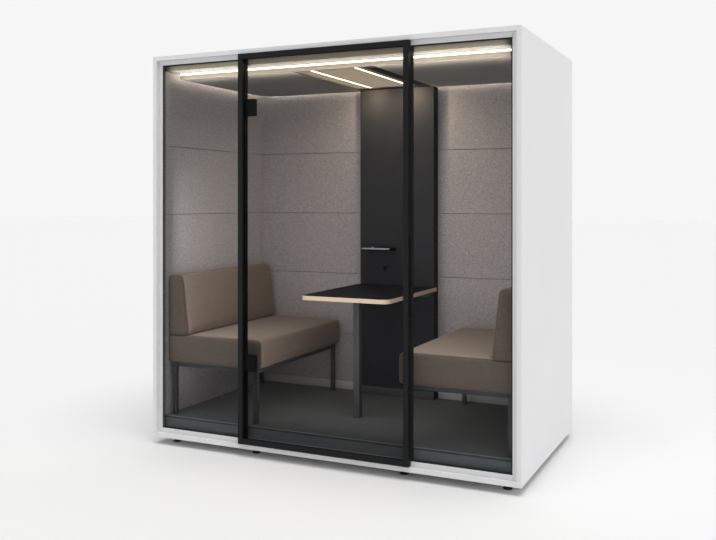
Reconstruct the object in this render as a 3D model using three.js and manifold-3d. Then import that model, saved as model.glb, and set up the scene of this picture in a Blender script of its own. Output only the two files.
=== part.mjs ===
// Acoustic office pod: a white casing with a glazed front, a swing door, two benches and a table.
// Millimetres, +Z up, +Y into the pod. The origin lies on the ground under the middle of the pod.
import * as THREE from "three";
import { mergeVertices } from "three/addons/utils/BufferGeometryUtils.js";
import Module from "manifold-3d";

const wasm = await Module();
wasm.setup();

// Clearance between a piece and its seat
const FIT = 0.3;

// Casing
const CASE_WIDTH = 2240;
const CASE_DEPTH = 1230;
const CASE_HEIGHT = 2270;
const CASE_BOARD = 25;

// Levelling feet
const FOOT_HEIGHT = 45;
const FOOT_RADIUS = 25;
const FOOT_DISC = 11;
const FOOT_CHAMFER = 2;
const FOOT_NECK = 4;
const FOOT_STUD_RADIUS = 6;
const FOOT_NUT_RADIUS = 10;
const FOOT_NUT_HEIGHT = 8;
const FOOT_EDGE_INSET = 105;
const FOOT_OUTER_INSET = 97;
const FOOT_INNER_SPACING = 920;

// Front frame set back inside the casing edge
const FRAME_RECESS = 22;
const FRAME_FACE = 26;
const FRAME_DEPTH = 28;
const FRAME_CHAMFER = 2;
const FIXED_GLASS_SETBACK = 8;
const FIXED_GLASS_THICKNESS = 10;

// Door
const DOOR_WIDTH = 1041;
const DOOR_OFFSET = 10.5;
const DOOR_PROUD = 18;
const DOOR_THICKNESS = 36;
const DOOR_TOP_GAP = 3;
const DOOR_BOTTOM_GAP = 5;
const STILE_FACE = 30;
const DOOR_EDGE_CHAMFER = 1.5;
const DOOR_GLASS_THICKNESS = 10;
const DOOR_GLASS_SETBACK = 17;
const GLASS_BITE = 8;
const GLASS_EDGE_GAP = 2;
const GRIP_LENGTH = 420;
const GRIP_CENTRE_Z = 1010;
const GRIP_WIDTH = 16;
const GRIP_DEPTH = 9;
const SEAL_WIDTH = 8;
const SEAL_INSET = 11;

// Jamb posts behind the door stiles
const JAMB_WIDTH = 28;
const JAMB_DEPTH = 24;

// Hinges
const HINGE_HEIGHT = 96;
const HINGE_TOP_INSET = 305;
const HINGE_BOTTOM_INSET = 457;
const PIN_INSET = 7;
const PIN_FROM_FACE = 23;
const PIN_RADIUS = 3;
const PIN_HEAD_RADIUS = 4.5;
const PIN_HEAD = 2;
const KNUCKLE_WALL = 3.2;
const KNUCKLE_SHARE = 28;
const HINGE_PLATE = 3;
const HINGE_WEB = 6;
const HINGE_LEAF_GAP = 1.5;
const HINGE_NOTCH_GAP = 1;
const HINGE_BLOCK_WIDTH = 68;
const HINGE_BLOCK_THICKNESS = 20;
const HINGE_BLOCK_CORNER = 6;

// Floor
const FLOOR_TOP = 118;
const CARPET_THICKNESS = 10;

// Felt wall panels
const WALL_FELT = 22;
const BACK_FELT = 33;
const SEAM_FIRST_Z = 498;
const SEAM_PITCH = 414;
const SEAM_COUNT = 4;
const SEAM_WIDTH = 5;
const SEAM_DEPTH = 9;
const SKIRTING_HEIGHT = 55;
const SKIRTING_RECESS = 5;

// Media column with its shelf and socket
const COLUMN_WIDTH = 524;
const COLUMN_PROUD = 74;
const COLUMN_EDGE_RADIUS = 3;
const SHELF_WIDTH = 207;
const SHELF_REACH = 98;
const SHELF_THICKNESS = 15;
const SHELF_TOP_Z = 1100;
const SHELF_CENTRE_X = -107;
const SHELF_LIP = 4;
const SHELF_EDGE_RADIUS = 4;
const SOCKET_X = -74;
const SOCKET_Z = 963;
const SOCKET_RADIUS = 21;
const SOCKET_DEPTH = 24;
const SOCKET_RIM = 3;
const SOCKET_WELL_RADIUS = 15;
const SOCKET_WELL_DEPTH = 12;

// Ceiling: an absorber slab under the roof, and below it a raft with its lights
const ABSORBER_DROP = 58;
const RAFT_DROP = 97;
const RAFT_THICKNESS = 23;
const RAFT_FRONT = 143;
const RAFT_SIDE_GAP = 43;
const RAFT_BACK_GAP = 31;
const RAFT_FRONT_CORNER = 6;
const RAFT_BACK_CORNER = 150;
const RAFT_ARC_STEPS = 8;
const RAFT_HANGER_RADIUS = 9;
const RAFT_HANGER_X = 700;
const RAFT_HANGER_END_INSET = 200;
const EDGE_LIGHT_INSET = 1.5;
const EDGE_LIGHT_HEIGHT = 11;
const EDGE_LIGHT_DEPTH = 8;
const CENTRE_PANEL_WIDTH = 510;
const CENTRE_PANEL_THICKNESS = 12;
const CENTRE_PANEL_END_GAP = 12;
const STRIP_LIGHT_SPACING = 274;
const STRIP_LIGHT_WIDTH = 14;
const STRIP_LIGHT_DEPTH = 6;
const STRIP_LIGHT_FRONT_INSET = 31;
const STRIP_LIGHT_BACK_INSET = 147;

// Exhaust fan and roof grille
const FAN_X = 560;
const FAN_Y = 620;
const FAN_SIZE = 140;
const FAN_CORNER = 8;
const FAN_WELL_GAP = 2;
const FAN_BORE_RADIUS = 66;
const FAN_THICKNESS = 26;
const FAN_TIP_GAP = 3;
const FAN_HUB_RADIUS = 24;
const FAN_HUB_CHAMFER = 3;
const FAN_HUB_HEADROOM = 2;
const FAN_MOTOR_HEIGHT = 6;
const FAN_STRUT_WIDTH = 7;
const FAN_STRUT_HEIGHT = 4;
const FAN_BLADES = 7;
const FAN_BLADE_THICKNESS = 1.6;
const FAN_BLADE_CHORD_DEG = 40;
const FAN_BLADE_SWEEP_DEG = 18;
const FAN_BLADE_RISE = 11;
const FAN_BLADE_ROOT = 5;
const GRILLE_RADIUS = 78;
const GRILLE_THICKNESS = 4;
const GRILLE_SLOT_WIDTH = 8;
const GRILLE_SLOT_PITCH = 15;
const GRILLE_SLOTS = 7;
const GRILLE_RIM = 13;

// Table
const TABLE_WIDTH = 562;
const TABLE_FRONT = 295;
const TABLE_HEIGHT = 733;
const TABLE_THICKNESS = 25;
const TABLE_CORNER = 45;
const TABLE_LEG_SETBACK = 203;
const TABLE_LEG_PLATE = 90;
const TABLE_LEG_PLATE_THICKNESS = 4;
const TABLE_LEG_PLATE_RADIUS = 8;
const TABLE_LEG_TUBE = 40;
const BRACKET_LENGTH = 460;
const BRACKET_LEG = 40;
const BRACKET_STEEL = 4;

// Benches
const BENCH_START = 80;
const BENCH_BACK_GAP = 42;
const BENCH_WALL_GAP = 4;
const BENCH_TUBE = 25;
const BENCH_TUBE_RADIUS = 2;
const BENCH_FRAME_INSET = 20;
const SEAT_DEPTH = 633;
const SEAT_HEIGHT = 480;
const SEAT_THICKNESS = 162;
const SEAT_CROWN = 9;
const CUSHION_EDGE = 17;
const CUSHION_DRAW_IN = 4;
const BACKREST_HEIGHT = 360;
const BACKREST_FOOT = 129;
const BACKREST_HEAD = 85;
const BACKREST_CROWN = 5;

// Facets round a full circle
const ROUND = 24;

// Planes that several pieces share, in the casing frame: x from the middle, y from the casing front,
// z from the casing underside
const caseHalf = CASE_WIDTH / 2;
const innerHalf = caseHalf - CASE_BOARD;
const roofUnderside = CASE_HEIGHT - CASE_BOARD;
const backInner = CASE_DEPTH - CASE_BOARD;
const frameBack = FRAME_RECESS + FRAME_DEPTH;
const daylightHalf = innerHalf - FRAME_FACE;
const daylightBottom = CASE_BOARD + FRAME_FACE;
const daylightTop = roofUnderside - FRAME_FACE;
const wallFace = innerHalf - WALL_FELT;
const backFace = backInner - BACK_FELT;
const columnFace = backFace - COLUMN_PROUD;
const carpetUnderside = FLOOR_TOP - CARPET_THICKNESS;
const doorLeft = DOOR_OFFSET - DOOR_WIDTH / 2;
const doorRight = DOOR_OFFSET + DOOR_WIDTH / 2;
const doorFace = -DOOR_PROUD;
const doorBack = doorFace + DOOR_THICKNESS;
const doorBottom = CASE_BOARD + DOOR_BOTTOM_GAP;
const doorTop = roofUnderside - DOOR_TOP_GAP;
const doorGlassFront = doorFace + DOOR_GLASS_SETBACK;
const doorGlassBack = doorGlassFront + DOOR_GLASS_THICKNESS;
const pinX = doorLeft + PIN_INSET;
const pinY = doorFace + PIN_FROM_FACE;
const absorberUnderside = roofUnderside - ABSORBER_DROP;
const raftHalf = wallFace - RAFT_SIDE_GAP;
const raftBack = backFace - RAFT_BACK_GAP;
const raftUnderside = roofUnderside - RAFT_DROP;
const raftTop = raftUnderside + RAFT_THICKNESS;
const tableTop = FLOOR_TOP + TABLE_HEIGHT;
const tableUnderside = tableTop - TABLE_THICKNESS;
const seatTop = FLOOR_TOP + SEAT_HEIGHT;
const seatUnderside = seatTop - SEAT_THICKNESS;
const benchLength = backFace - BENCH_BACK_GAP - BENCH_START;

const finish = (color, roughness, metalness = 0) =>
  new THREE.MeshStandardMaterial({ color, roughness, metalness });
const glassFinish = () => {
  const material = finish(0x8d9698, 0.05);
  material.transparent = true;
  material.opacity = 0.3;
  return material;
};
const lightFinish = () => {
  const material = finish(0xfff4e2, 0.5);
  material.emissive = new THREE.Color(0xfff0da);
  return material;
};
const casingWhite = () => finish(0xe9e9ea, 0.45);
const frameBlack = () => finish(0x232424, 0.5);
const feltGrey = () => finish(0x7d7773, 0.95);
const anthracite = () => finish(0x2c2d30, 0.75);
const upholstery = () => finish(0x6f635a, 0.9);
const tubeBlack = () => finish(0x2a2b2d, 0.5, 0.4);

// Solids for cutting and joining
function solidOf(geometry) {
  const bare = new THREE.BufferGeometry();
  const flat = geometry.index ? geometry.toNonIndexed() : geometry;
  bare.setAttribute("position", flat.getAttribute("position").clone());
  const merged = mergeVertices(bare, 1e-4);
  return new wasm.Manifold(
    new wasm.Mesh({
      numProp: 3,
      vertProperties: new Float32Array(merged.attributes.position.array),
      triVerts: new Uint32Array(merged.index.array),
    }),
  );
}

function geometryOf(solid) {
  const { vertProperties, triVerts, numProp } = solid.getMesh();
  const points = [];
  for (let i = 0; i < vertProperties.length; i += numProp) {
    points.push(vertProperties[i], vertProperties[i + 1], vertProperties[i + 2]);
  }
  const geometry = new THREE.BufferGeometry();
  geometry.setAttribute("position", new THREE.Float32BufferAttribute(points, 3));
  geometry.setIndex(Array.from(triVerts));
  return geometry;
}

const join = (first, ...rest) =>
  geometryOf(rest.reduce((sum, piece) => sum.add(solidOf(piece)), solidOf(first)));
const cut = (body, ...tools) =>
  geometryOf(tools.reduce((left, tool) => left.subtract(solidOf(tool)), solidOf(body)));

// A block between two corners
function block(x0, x1, y0, y1, z0, z1) {
  const geometry = new THREE.BoxGeometry(x1 - x0, y1 - y0, z1 - z0);
  return geometry.translate((x0 + x1) / 2, (y0 + y1) / 2, (z0 + z1) / 2);
}

// A rectangle with its own radius at each corner: low-left, low-right, high-right, high-left
function rounded(x0, x1, y0, y1, radii) {
  const [a, b, c, d] = Array.isArray(radii) ? radii : [radii, radii, radii, radii];
  const shape = new THREE.Shape();
  shape.moveTo(x0 + a, y0);
  shape.lineTo(x1 - b, y0);
  if (b) shape.absarc(x1 - b, y0 + b, b, -Math.PI / 2, 0);
  shape.lineTo(x1, y1 - c);
  if (c) shape.absarc(x1 - c, y1 - c, c, 0, Math.PI / 2);
  shape.lineTo(x0 + d, y1);
  if (d) shape.absarc(x0 + d, y1 - d, d, Math.PI / 2, Math.PI);
  shape.lineTo(x0, y0 + a);
  if (a) shape.absarc(x0 + a, y0 + a, a, Math.PI, Math.PI * 1.5);
  return shape;
}

// A plan outline raised from z0 to z1
function raise(shape, z0, z1, curveSegments = 3) {
  const geometry = new THREE.ExtrudeGeometry(shape, {
    depth: z1 - z0,
    bevelEnabled: false,
    curveSegments,
  });
  return geometry.translate(0, 0, z0);
}

// A section in (y, z) drawn out along x
function alongX(shape, x0, x1, curveSegments = 2) {
  const geometry = raise(shape, 0, x1 - x0, curveSegments);
  geometry.rotateX(Math.PI / 2);
  geometry.rotateZ(Math.PI / 2);
  return geometry.translate(x0, 0, 0);
}

// A section in (x, z) drawn out along y
function alongY(shape, y0, y1, curveSegments = 2) {
  const geometry = raise(shape, 0, y1 - y0, curveSegments);
  geometry.rotateX(Math.PI / 2);
  return geometry.translate(0, y1, 0);
}

function cylinder(x, y, radius, z0, z1, facets = ROUND) {
  const geometry = new THREE.CylinderGeometry(radius, radius, z1 - z0, facets);
  geometry.rotateX(Math.PI / 2);
  return geometry.translate(x, y, (z0 + z1) / 2);
}

// A section with its front two edges chamfered, in (across, back) with the face at back = y0
function chamferedFace(x0, x1, y0, y1, chamfer) {
  const shape = new THREE.Shape();
  shape.moveTo(x0, y1);
  shape.lineTo(x0, y0 + chamfer);
  shape.lineTo(x0 + chamfer, y0);
  shape.lineTo(x1 - chamfer, y0);
  shape.lineTo(x1, y0 + chamfer);
  shape.lineTo(x1, y1);
  return shape;
}

const pod = new THREE.Group();
const casing = new THREE.Group();
casing.position.set(0, -(CASE_DEPTH - DOOR_PROUD) / 2, FOOT_HEIGHT);
pod.add(casing);

function add(name, geometry, material) {
  const mesh = new THREE.Mesh(geometry, material);
  mesh.name = name;
  casing.add(mesh);
  return mesh;
}

const MIRROR = { left: -1, right: 1 };
const span = (side, near, far) => (side < 0 ? [-far, -near] : [near, far]);

// Casing boards: the sides run full height, the roof, base and back lie between them
function addCasing() {
  const boardEnds = [-innerHalf + FIT, innerHalf - FIT];
  for (const [side, sign] of Object.entries(MIRROR)) {
    const [x0, x1] = span(sign, innerHalf, caseHalf);
    add(`side_panel_${side}`, block(x0, x1, 0, CASE_DEPTH, 0, CASE_HEIGHT), casingWhite());
  }
  const roof = block(...boardEnds, 0, CASE_DEPTH, roofUnderside, CASE_HEIGHT);
  const duct = cylinder(FAN_X, FAN_Y, FAN_BORE_RADIUS, roofUnderside - 1, CASE_HEIGHT + 1);
  const grilleSeat = cylinder(
    FAN_X,
    FAN_Y,
    GRILLE_RADIUS + FIT,
    CASE_HEIGHT - GRILLE_THICKNESS - FIT,
    CASE_HEIGHT + 1,
  );
  add("roof_panel", cut(roof, duct, grilleSeat), casingWhite());
  add("base_panel", block(...boardEnds, 0, CASE_DEPTH, 0, CASE_BOARD), casingWhite());
  const back = block(
    ...boardEnds,
    backInner,
    CASE_DEPTH,
    CASE_BOARD + FIT,
    roofUnderside - FIT,
  );
  add("back_panel", back, casingWhite());
}

// A levelling foot: ground disc, stud and lock nut, turned about its axis
function addFeet() {
  const rows = { front: FOOT_EDGE_INSET, back: CASE_DEPTH - FOOT_EDGE_INSET };
  const outer = caseHalf - FOOT_OUTER_INSET;
  const columns = { a: -outer, b: -FOOT_INNER_SPACING / 2, c: FOOT_INNER_SPACING / 2, d: outer };
  const shoulder = FOOT_DISC / 2;
  const top = FOOT_HEIGHT - FIT;
  const profile = [
    [0, 0],
    [FOOT_RADIUS - FOOT_CHAMFER, 0],
    [FOOT_RADIUS, FOOT_CHAMFER],
    [FOOT_RADIUS, shoulder],
    [FOOT_STUD_RADIUS + FOOT_NECK, FOOT_DISC],
    [FOOT_STUD_RADIUS, FOOT_DISC],
    [FOOT_STUD_RADIUS, top - FOOT_NUT_HEIGHT],
    [FOOT_NUT_RADIUS, top - FOOT_NUT_HEIGHT],
    [FOOT_NUT_RADIUS, top],
    [0, top],
  ].map(([r, z]) => new THREE.Vector2(r, z));
  for (const [row, y] of Object.entries(rows)) {
    for (const [column, x] of Object.entries(columns)) {
      const foot = new THREE.LatheGeometry(profile, 14).rotateX(Math.PI / 2);
      const mesh = add(`levelling_foot_${row}_${column}`, foot, finish(0x141414, 0.6));
      mesh.position.set(x, y, -FOOT_HEIGHT);
    }
  }
}

// Front frame: four mouldings with a chamfered face, mitred in look by butting top and bottom between
function addFrontFrame() {
  const face = FRAME_RECESS;
  for (const [side, sign] of Object.entries(MIRROR)) {
    const [x0, x1] = span(sign, daylightHalf, innerHalf - FIT);
    const section = chamferedFace(x0, x1, face, frameBack, FRAME_CHAMFER);
    const upright = raise(section, CASE_BOARD + FIT, roofUnderside - FIT);
    add(`front_frame_${side}`, upright, casingWhite());
  }
  const bars = {
    bottom: [CASE_BOARD + FIT, daylightBottom],
    top: [daylightTop, roofUnderside - FIT],
  };
  for (const [edge, [z0, z1]] of Object.entries(bars)) {
    const section = new THREE.Shape();
    section.moveTo(face + FRAME_CHAMFER, z0);
    section.lineTo(frameBack, z0);
    section.lineTo(frameBack, z1);
    section.lineTo(face + FRAME_CHAMFER, z1);
    section.lineTo(face, z1 - FRAME_CHAMFER);
    section.lineTo(face, z0 + FRAME_CHAMFER);
    const bar = alongX(section, -daylightHalf + FIT, daylightHalf - FIT);
    add(`front_frame_${edge}`, bar, casingWhite());
  }
}

// Jamb posts stand behind the door stiles; the hinge post has a pocket for each frame leaf
const jambLines = {
  hinge: [doorLeft, doorLeft + JAMB_WIDTH],
  latch: [doorRight - JAMB_WIDTH, doorRight],
};

function addJambs() {
  const z0 = daylightBottom + FIT;
  const z1 = daylightTop - FIT;
  for (const [role, [x0, x1]] of Object.entries(jambLines)) {
    let post = block(x0, x1, FRAME_RECESS, FRAME_RECESS + JAMB_DEPTH, z0, z1);
    if (role === "hinge") {
      post = cut(post, ...hingeCentres.map((z) => frameLeafPocket(z)));
    }
    add(`jamb_post_${role}`, post, frameBlack());
  }
}

function addFixedGlass() {
  const y0 = FRAME_RECESS + FIXED_GLASS_SETBACK;
  const y1 = y0 + FIXED_GLASS_THICKNESS;
  const panes = {
    left: [-daylightHalf + FIT, jambLines.hinge[0] - FIT],
    right: [jambLines.latch[1] + FIT, daylightHalf - FIT],
  };
  for (const [side, [x0, x1]] of Object.entries(panes)) {
    const pane = block(x0, x1, y0, y1, daylightBottom + FIT, daylightTop - FIT);
    add(`fixed_glass_${side}`, pane, glassFinish());
  }
}

// Hinges, drawn in plan about the pin axis and raised
const hingeLevels = { lower: doorBottom + HINGE_BOTTOM_INSET, upper: doorTop - HINGE_TOP_INSET };
const hingeCentres = Object.values(hingeLevels);
const knuckleRadius = PIN_RADIUS + FIT + KNUCKLE_WALL;
const plateBack = FRAME_RECESS + HINGE_PLATE + FIT;
const doorPlateFront = doorBack - HINGE_PLATE - FIT;
const webHalf = HINGE_WEB / 2;
const framePlateLeft = pinX - PIN_INSET + HINGE_NOTCH_GAP;
const framePlateRight = pinX + webHalf;
const doorPlateLeft = framePlateRight + HINGE_LEAF_GAP;
const blockLeft = doorLeft + STILE_FACE + HINGE_LEAF_GAP;

const hingeSpan = (z) => [z - HINGE_HEIGHT / 2, z + HINGE_HEIGHT / 2];

function frameLeafPocket(z) {
  const [z0, z1] = hingeSpan(z);
  return block(
    framePlateLeft - FIT,
    framePlateRight + FIT,
    FRAME_RECESS - 1,
    plateBack + FIT,
    z0 - FIT,
    z1 + FIT,
  );
}

function knuckle(z0, z1) {
  return cylinder(pinX, pinY, knuckleRadius, z0, z1);
}

function pinBore(z0, z1) {
  return cylinder(pinX, pinY, PIN_RADIUS + FIT, z0 - 1, z1 + 1);
}

function frameLeaf(z) {
  const [z0, z1] = hingeSpan(z);
  const ends = [
    [z0, z0 + KNUCKLE_SHARE],
    [z1 - KNUCKLE_SHARE, z1],
  ];
  const plate = block(framePlateLeft, framePlateRight, plateBack - HINGE_PLATE, plateBack, z0, z1);
  const knuckles = ends.flatMap(([a, b]) => [
    knuckle(a, b),
    block(pinX - webHalf, pinX + webHalf, pinY, plateBack - HINGE_PLATE / 2, a, b),
  ]);
  return cut(join(plate, ...knuckles), pinBore(z0, z1));
}

function doorLeaf(z) {
  const [z0, z1] = hingeSpan(z);
  const middle = [z0 + KNUCKLE_SHARE + FIT, z1 - KNUCKLE_SHARE - FIT];
  const plateY = [doorPlateFront, doorPlateFront + HINGE_PLATE];
  const plate = block(doorPlateLeft, blockLeft + HINGE_PLATE, ...plateY, z0, z1);
  const web = block(pinX, doorPlateLeft + HINGE_WEB, pinY - webHalf, pinY + webHalf, ...middle);
  const heel = block(doorPlateLeft, doorPlateLeft + HINGE_WEB, pinY, plateY[1], ...middle);
  const clamp = rounded(blockLeft, blockLeft + HINGE_BLOCK_WIDTH, z0, z1, HINGE_BLOCK_CORNER);
  const clampBack = doorGlassBack + FIT + HINGE_BLOCK_THICKNESS;
  const body = alongY(clamp, doorGlassBack + FIT, clampBack);
  return cut(join(plate, knuckle(...middle), web, heel, body), pinBore(z0, z1));
}

function hingePin(z) {
  const [z0, z1] = hingeSpan(z);
  const profile = [
    [0, z0],
    [PIN_RADIUS, z0],
    [PIN_RADIUS, z1 + FIT],
    [PIN_HEAD_RADIUS, z1 + FIT],
    [PIN_HEAD_RADIUS, z1 + FIT + PIN_HEAD],
    [0, z1 + FIT + PIN_HEAD],
  ].map(([r, h]) => new THREE.Vector2(r, h));
  const pin = new THREE.LatheGeometry(profile, ROUND).rotateX(Math.PI / 2);
  return pin.translate(pinX, pinY, 0);
}

function addHinges() {
  for (const [level, z] of Object.entries(hingeLevels)) {
    add(`hinge_frame_leaf_${level}`, frameLeaf(z), frameBlack());
    add(`hinge_door_leaf_${level}`, doorLeaf(z), frameBlack());
    add(`hinge_pin_${level}`, hingePin(z), finish(0x9a9c9e, 0.3, 1));
  }
}

// Door: two stiles run full height, the rails fit between them, and the glass sits in a groove all round
const grooveDepth = GLASS_BITE + GLASS_EDGE_GAP;
const grooveY = [doorGlassFront - FIT, doorGlassBack + FIT];

function hingeStile() {
  const x1 = doorLeft + STILE_FACE;
  const section = chamferedFace(doorLeft, x1, doorFace, doorBack, DOOR_EDGE_CHAMFER);
  const groove = block(
    x1 - grooveDepth,
    x1 + 1,
    ...grooveY,
    doorBottom + grooveDepth,
    doorTop - grooveDepth,
  );
  const notches = hingeCentres.flatMap((z) => {
    const [z0, z1] = hingeSpan(z);
    const low = z0 - HINGE_NOTCH_GAP;
    const high = z1 + FIT + PIN_HEAD + HINGE_NOTCH_GAP;
    const notchRight = doorPlateLeft + HINGE_WEB + FIT;
    return [
      block(doorLeft - 1, notchRight, pinY - knuckleRadius - HINGE_LEAF_GAP, doorBack + 1, low, high),
      block(notchRight - 1, x1 + 1, doorPlateFront - FIT, doorBack + 1, low, high),
    ];
  });
  return cut(raise(section, doorBottom, doorTop), groove, ...notches);
}

function latchStile() {
  const x0 = doorRight - STILE_FACE;
  const section = chamferedFace(x0, doorRight, doorFace, doorBack, DOOR_EDGE_CHAMFER);
  const groove = block(
    x0 - 1,
    x0 + grooveDepth,
    ...grooveY,
    doorBottom + grooveDepth,
    doorTop - grooveDepth,
  );
  const gripY = (doorFace + doorBack) / 2;
  const grip = rounded(
    gripY - GRIP_WIDTH / 2,
    gripY + GRIP_WIDTH / 2,
    GRIP_CENTRE_Z - GRIP_LENGTH / 2,
    GRIP_CENTRE_Z + GRIP_LENGTH / 2,
    GRIP_WIDTH / 2 - 0.5,
  );
  const fingerGroove = alongX(grip, doorRight - GRIP_DEPTH, doorRight + 1);
  return cut(raise(section, doorBottom, doorTop), groove, fingerGroove);
}

function doorRail(z0, z1, glassAbove) {
  const section = new THREE.Shape();
  section.moveTo(doorFace + DOOR_EDGE_CHAMFER, z0);
  section.lineTo(doorBack, z0);
  section.lineTo(doorBack, z1);
  section.lineTo(doorFace + DOOR_EDGE_CHAMFER, z1);
  section.lineTo(doorFace, z1 - DOOR_EDGE_CHAMFER);
  section.lineTo(doorFace, z0 + DOOR_EDGE_CHAMFER);
  const ends = [doorLeft + STILE_FACE + FIT, doorRight - STILE_FACE - FIT];
  const grooveZ = glassAbove ? [z1 - grooveDepth, z1 + 1] : [z0 - 1, z0 + grooveDepth];
  return cut(alongX(section, ...ends), block(ends[0] - 1, ends[1] + 1, ...grooveY, ...grooveZ));
}

function addDoor() {
  add("door_stile_hinge", hingeStile(), frameBlack());
  add("door_stile_latch", latchStile(), frameBlack());
  add("door_rail_bottom", doorRail(doorBottom, doorBottom + STILE_FACE, true), frameBlack());
  add("door_rail_top", doorRail(doorTop - STILE_FACE, doorTop, false), frameBlack());
  const edge = STILE_FACE - GLASS_BITE;
  const pane = block(
    doorLeft + edge,
    doorRight - edge,
    doorGlassFront,
    doorGlassBack,
    doorBottom + edge,
    doorTop - edge,
  );
  add("door_glass", pane, glassFinish());
  const inset = SEAL_INSET;
  const ring = rounded(doorLeft + inset, doorRight - inset, doorBottom + inset, doorTop - inset, 0);
  const inner = inset + SEAL_WIDTH;
  ring.holes.push(rounded(doorLeft + inner, doorRight - inner, doorBottom + inner, doorTop - inner, 0));
  add("door_seal", alongY(ring, doorBack + FIT, FRAME_RECESS - FIT), finish(0x111111, 0.85));
}

// Floor: a platform behind the front frame, carpeted up to the walls and round the column
function addFloor() {
  const front = frameBack + FIT;
  const platform = block(
    -innerHalf + FIT,
    innerHalf - FIT,
    front,
    backInner - FIT,
    CASE_BOARD + FIT,
    carpetUnderside - FIT,
  );
  add("floor_platform", platform, finish(0x4a4b4d, 0.8));
  const half = wallFace - FIT;
  const columnHalf = COLUMN_WIDTH / 2 + FIT;
  const outline = new THREE.Shape();
  outline.moveTo(-half, front);
  outline.lineTo(half, front);
  outline.lineTo(half, backFace - FIT);
  outline.lineTo(columnHalf, backFace - FIT);
  outline.lineTo(columnHalf, columnFace - FIT);
  outline.lineTo(-columnHalf, columnFace - FIT);
  outline.lineTo(-columnHalf, backFace - FIT);
  outline.lineTo(-half, backFace - FIT);
  add("floor_carpet", raise(outline, carpetUnderside, FLOOR_TOP), finish(0x3d3e40, 0.95));
}

// Section of a felt panel, (depth, height): face at depth 0 with a V joint at every row of felt
function feltSection(thickness, z0, z1, skirting) {
  const section = new THREE.Shape();
  section.moveTo(thickness, z0);
  section.lineTo(thickness, z1);
  section.lineTo(0, z1);
  for (let row = SEAM_COUNT - 1; row >= 0; row -= 1) {
    const seam = SEAM_FIRST_Z + row * SEAM_PITCH;
    section.lineTo(0, seam + SEAM_WIDTH / 2);
    section.lineTo(SEAM_DEPTH, seam);
    section.lineTo(0, seam - SEAM_WIDTH / 2);
  }
  if (skirting) {
    section.lineTo(0, FLOOR_TOP + SKIRTING_HEIGHT);
    section.lineTo(SKIRTING_RECESS, FLOOR_TOP + SKIRTING_HEIGHT);
    section.lineTo(SKIRTING_RECESS, z0);
  } else {
    section.lineTo(0, z0);
  }
  return section;
}

function addWalls() {
  const z0 = carpetUnderside;
  const z1 = roofUnderside - FIT;
  const ends = [frameBack + FIT, backInner - FIT];
  for (const [side, sign] of Object.entries(MIRROR)) {
    const panel = alongY(feltSection(WALL_FELT - FIT, z0, z1, false), ...ends);
    if (sign < 0) panel.rotateZ(Math.PI).translate(0, ends[0] + ends[1], 0);
    panel.translate(sign * wallFace, 0, 0);
    add(`wall_felt_${side}`, panel, feltGrey());
    const backPanel = alongX(
      feltSection(BACK_FELT - FIT, z0, z1, true),
      ...span(sign, COLUMN_WIDTH / 2 + FIT, wallFace - FIT),
    );
    backPanel.translate(0, backFace, 0);
    add(`wall_felt_back_${side}`, backPanel, feltGrey());
  }
}

// Column: a tall board with soft front edges and a round hole for the socket
function addColumn() {
  const half = COLUMN_WIDTH / 2;
  const r = COLUMN_EDGE_RADIUS;
  const plan = rounded(-half, half, columnFace, backInner - FIT, [r, r, 0, 0]);
  const board = raise(plan, carpetUnderside, raftUnderside - FIT, 4);
  const well = turned(SOCKET_RADIUS - SOCKET_RIM + FIT, SOCKET_DEPTH + FIT, columnFace - 1);
  add("media_column", cut(board, well), anthracite());

  const shelf = rounded(
    SHELF_CENTRE_X - SHELF_WIDTH / 2,
    SHELF_CENTRE_X + SHELF_WIDTH / 2,
    columnFace - FIT - SHELF_REACH,
    columnFace - FIT,
    [SHELF_EDGE_RADIUS, SHELF_EDGE_RADIUS, 0, 0],
  );
  const tray = raise(shelf, SHELF_TOP_Z - SHELF_THICKNESS, SHELF_TOP_Z, 3);
  const well2 = block(
    SHELF_CENTRE_X - SHELF_WIDTH / 2 + SHELF_LIP,
    SHELF_CENTRE_X + SHELF_WIDTH / 2 - SHELF_LIP,
    columnFace - SHELF_REACH + SHELF_LIP,
    columnFace + 1,
    SHELF_TOP_Z - SHELF_LIP,
    SHELF_TOP_Z + 1,
  );
  add("column_shelf", cut(tray, well2), finish(0x1b1c1d, 0.4, 0.3));

  const profile = [
    [0, SOCKET_DEPTH],
    [SOCKET_RADIUS - SOCKET_RIM, SOCKET_DEPTH],
    [SOCKET_RADIUS - SOCKET_RIM, -FIT],
    [SOCKET_RADIUS, -FIT],
    [SOCKET_RADIUS, -SOCKET_RIM],
    [SOCKET_WELL_RADIUS, -SOCKET_RIM],
    [SOCKET_WELL_RADIUS, SOCKET_WELL_DEPTH],
    [0, SOCKET_WELL_DEPTH],
  ].map(([radius, depth]) => new THREE.Vector2(radius, depth));
  const socket = new THREE.LatheGeometry(profile.reverse(), ROUND);
  add("power_socket", socket.translate(SOCKET_X, columnFace, SOCKET_Z), finish(0x17181a, 0.4));
}

// A cylinder that runs straight back from y0 at the socket's place
function turned(radius, depth, y0) {
  const length = columnFace + depth - y0;
  const geometry = new THREE.CylinderGeometry(radius, radius, length, ROUND);
  return geometry.translate(SOCKET_X, y0 + length / 2, SOCKET_Z);
}

// Absorber: a dark slab that fills the ceiling between the walls, open round the fan
function addAbsorber() {
  const half = wallFace - FIT;
  const slab = block(
    -half,
    half,
    frameBack + FIT,
    backFace - FIT,
    absorberUnderside,
    roofUnderside - FIT,
  );
  const open = FAN_SIZE / 2 + FAN_WELL_GAP;
  const well = block(
    FAN_X - open,
    FAN_X + open,
    FAN_Y - open,
    FAN_Y + open,
    absorberUnderside - 1,
    roofUnderside + 1,
  );
  add("ceiling_absorber", cut(slab, well), finish(0x3b3936, 0.9));
}

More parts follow.
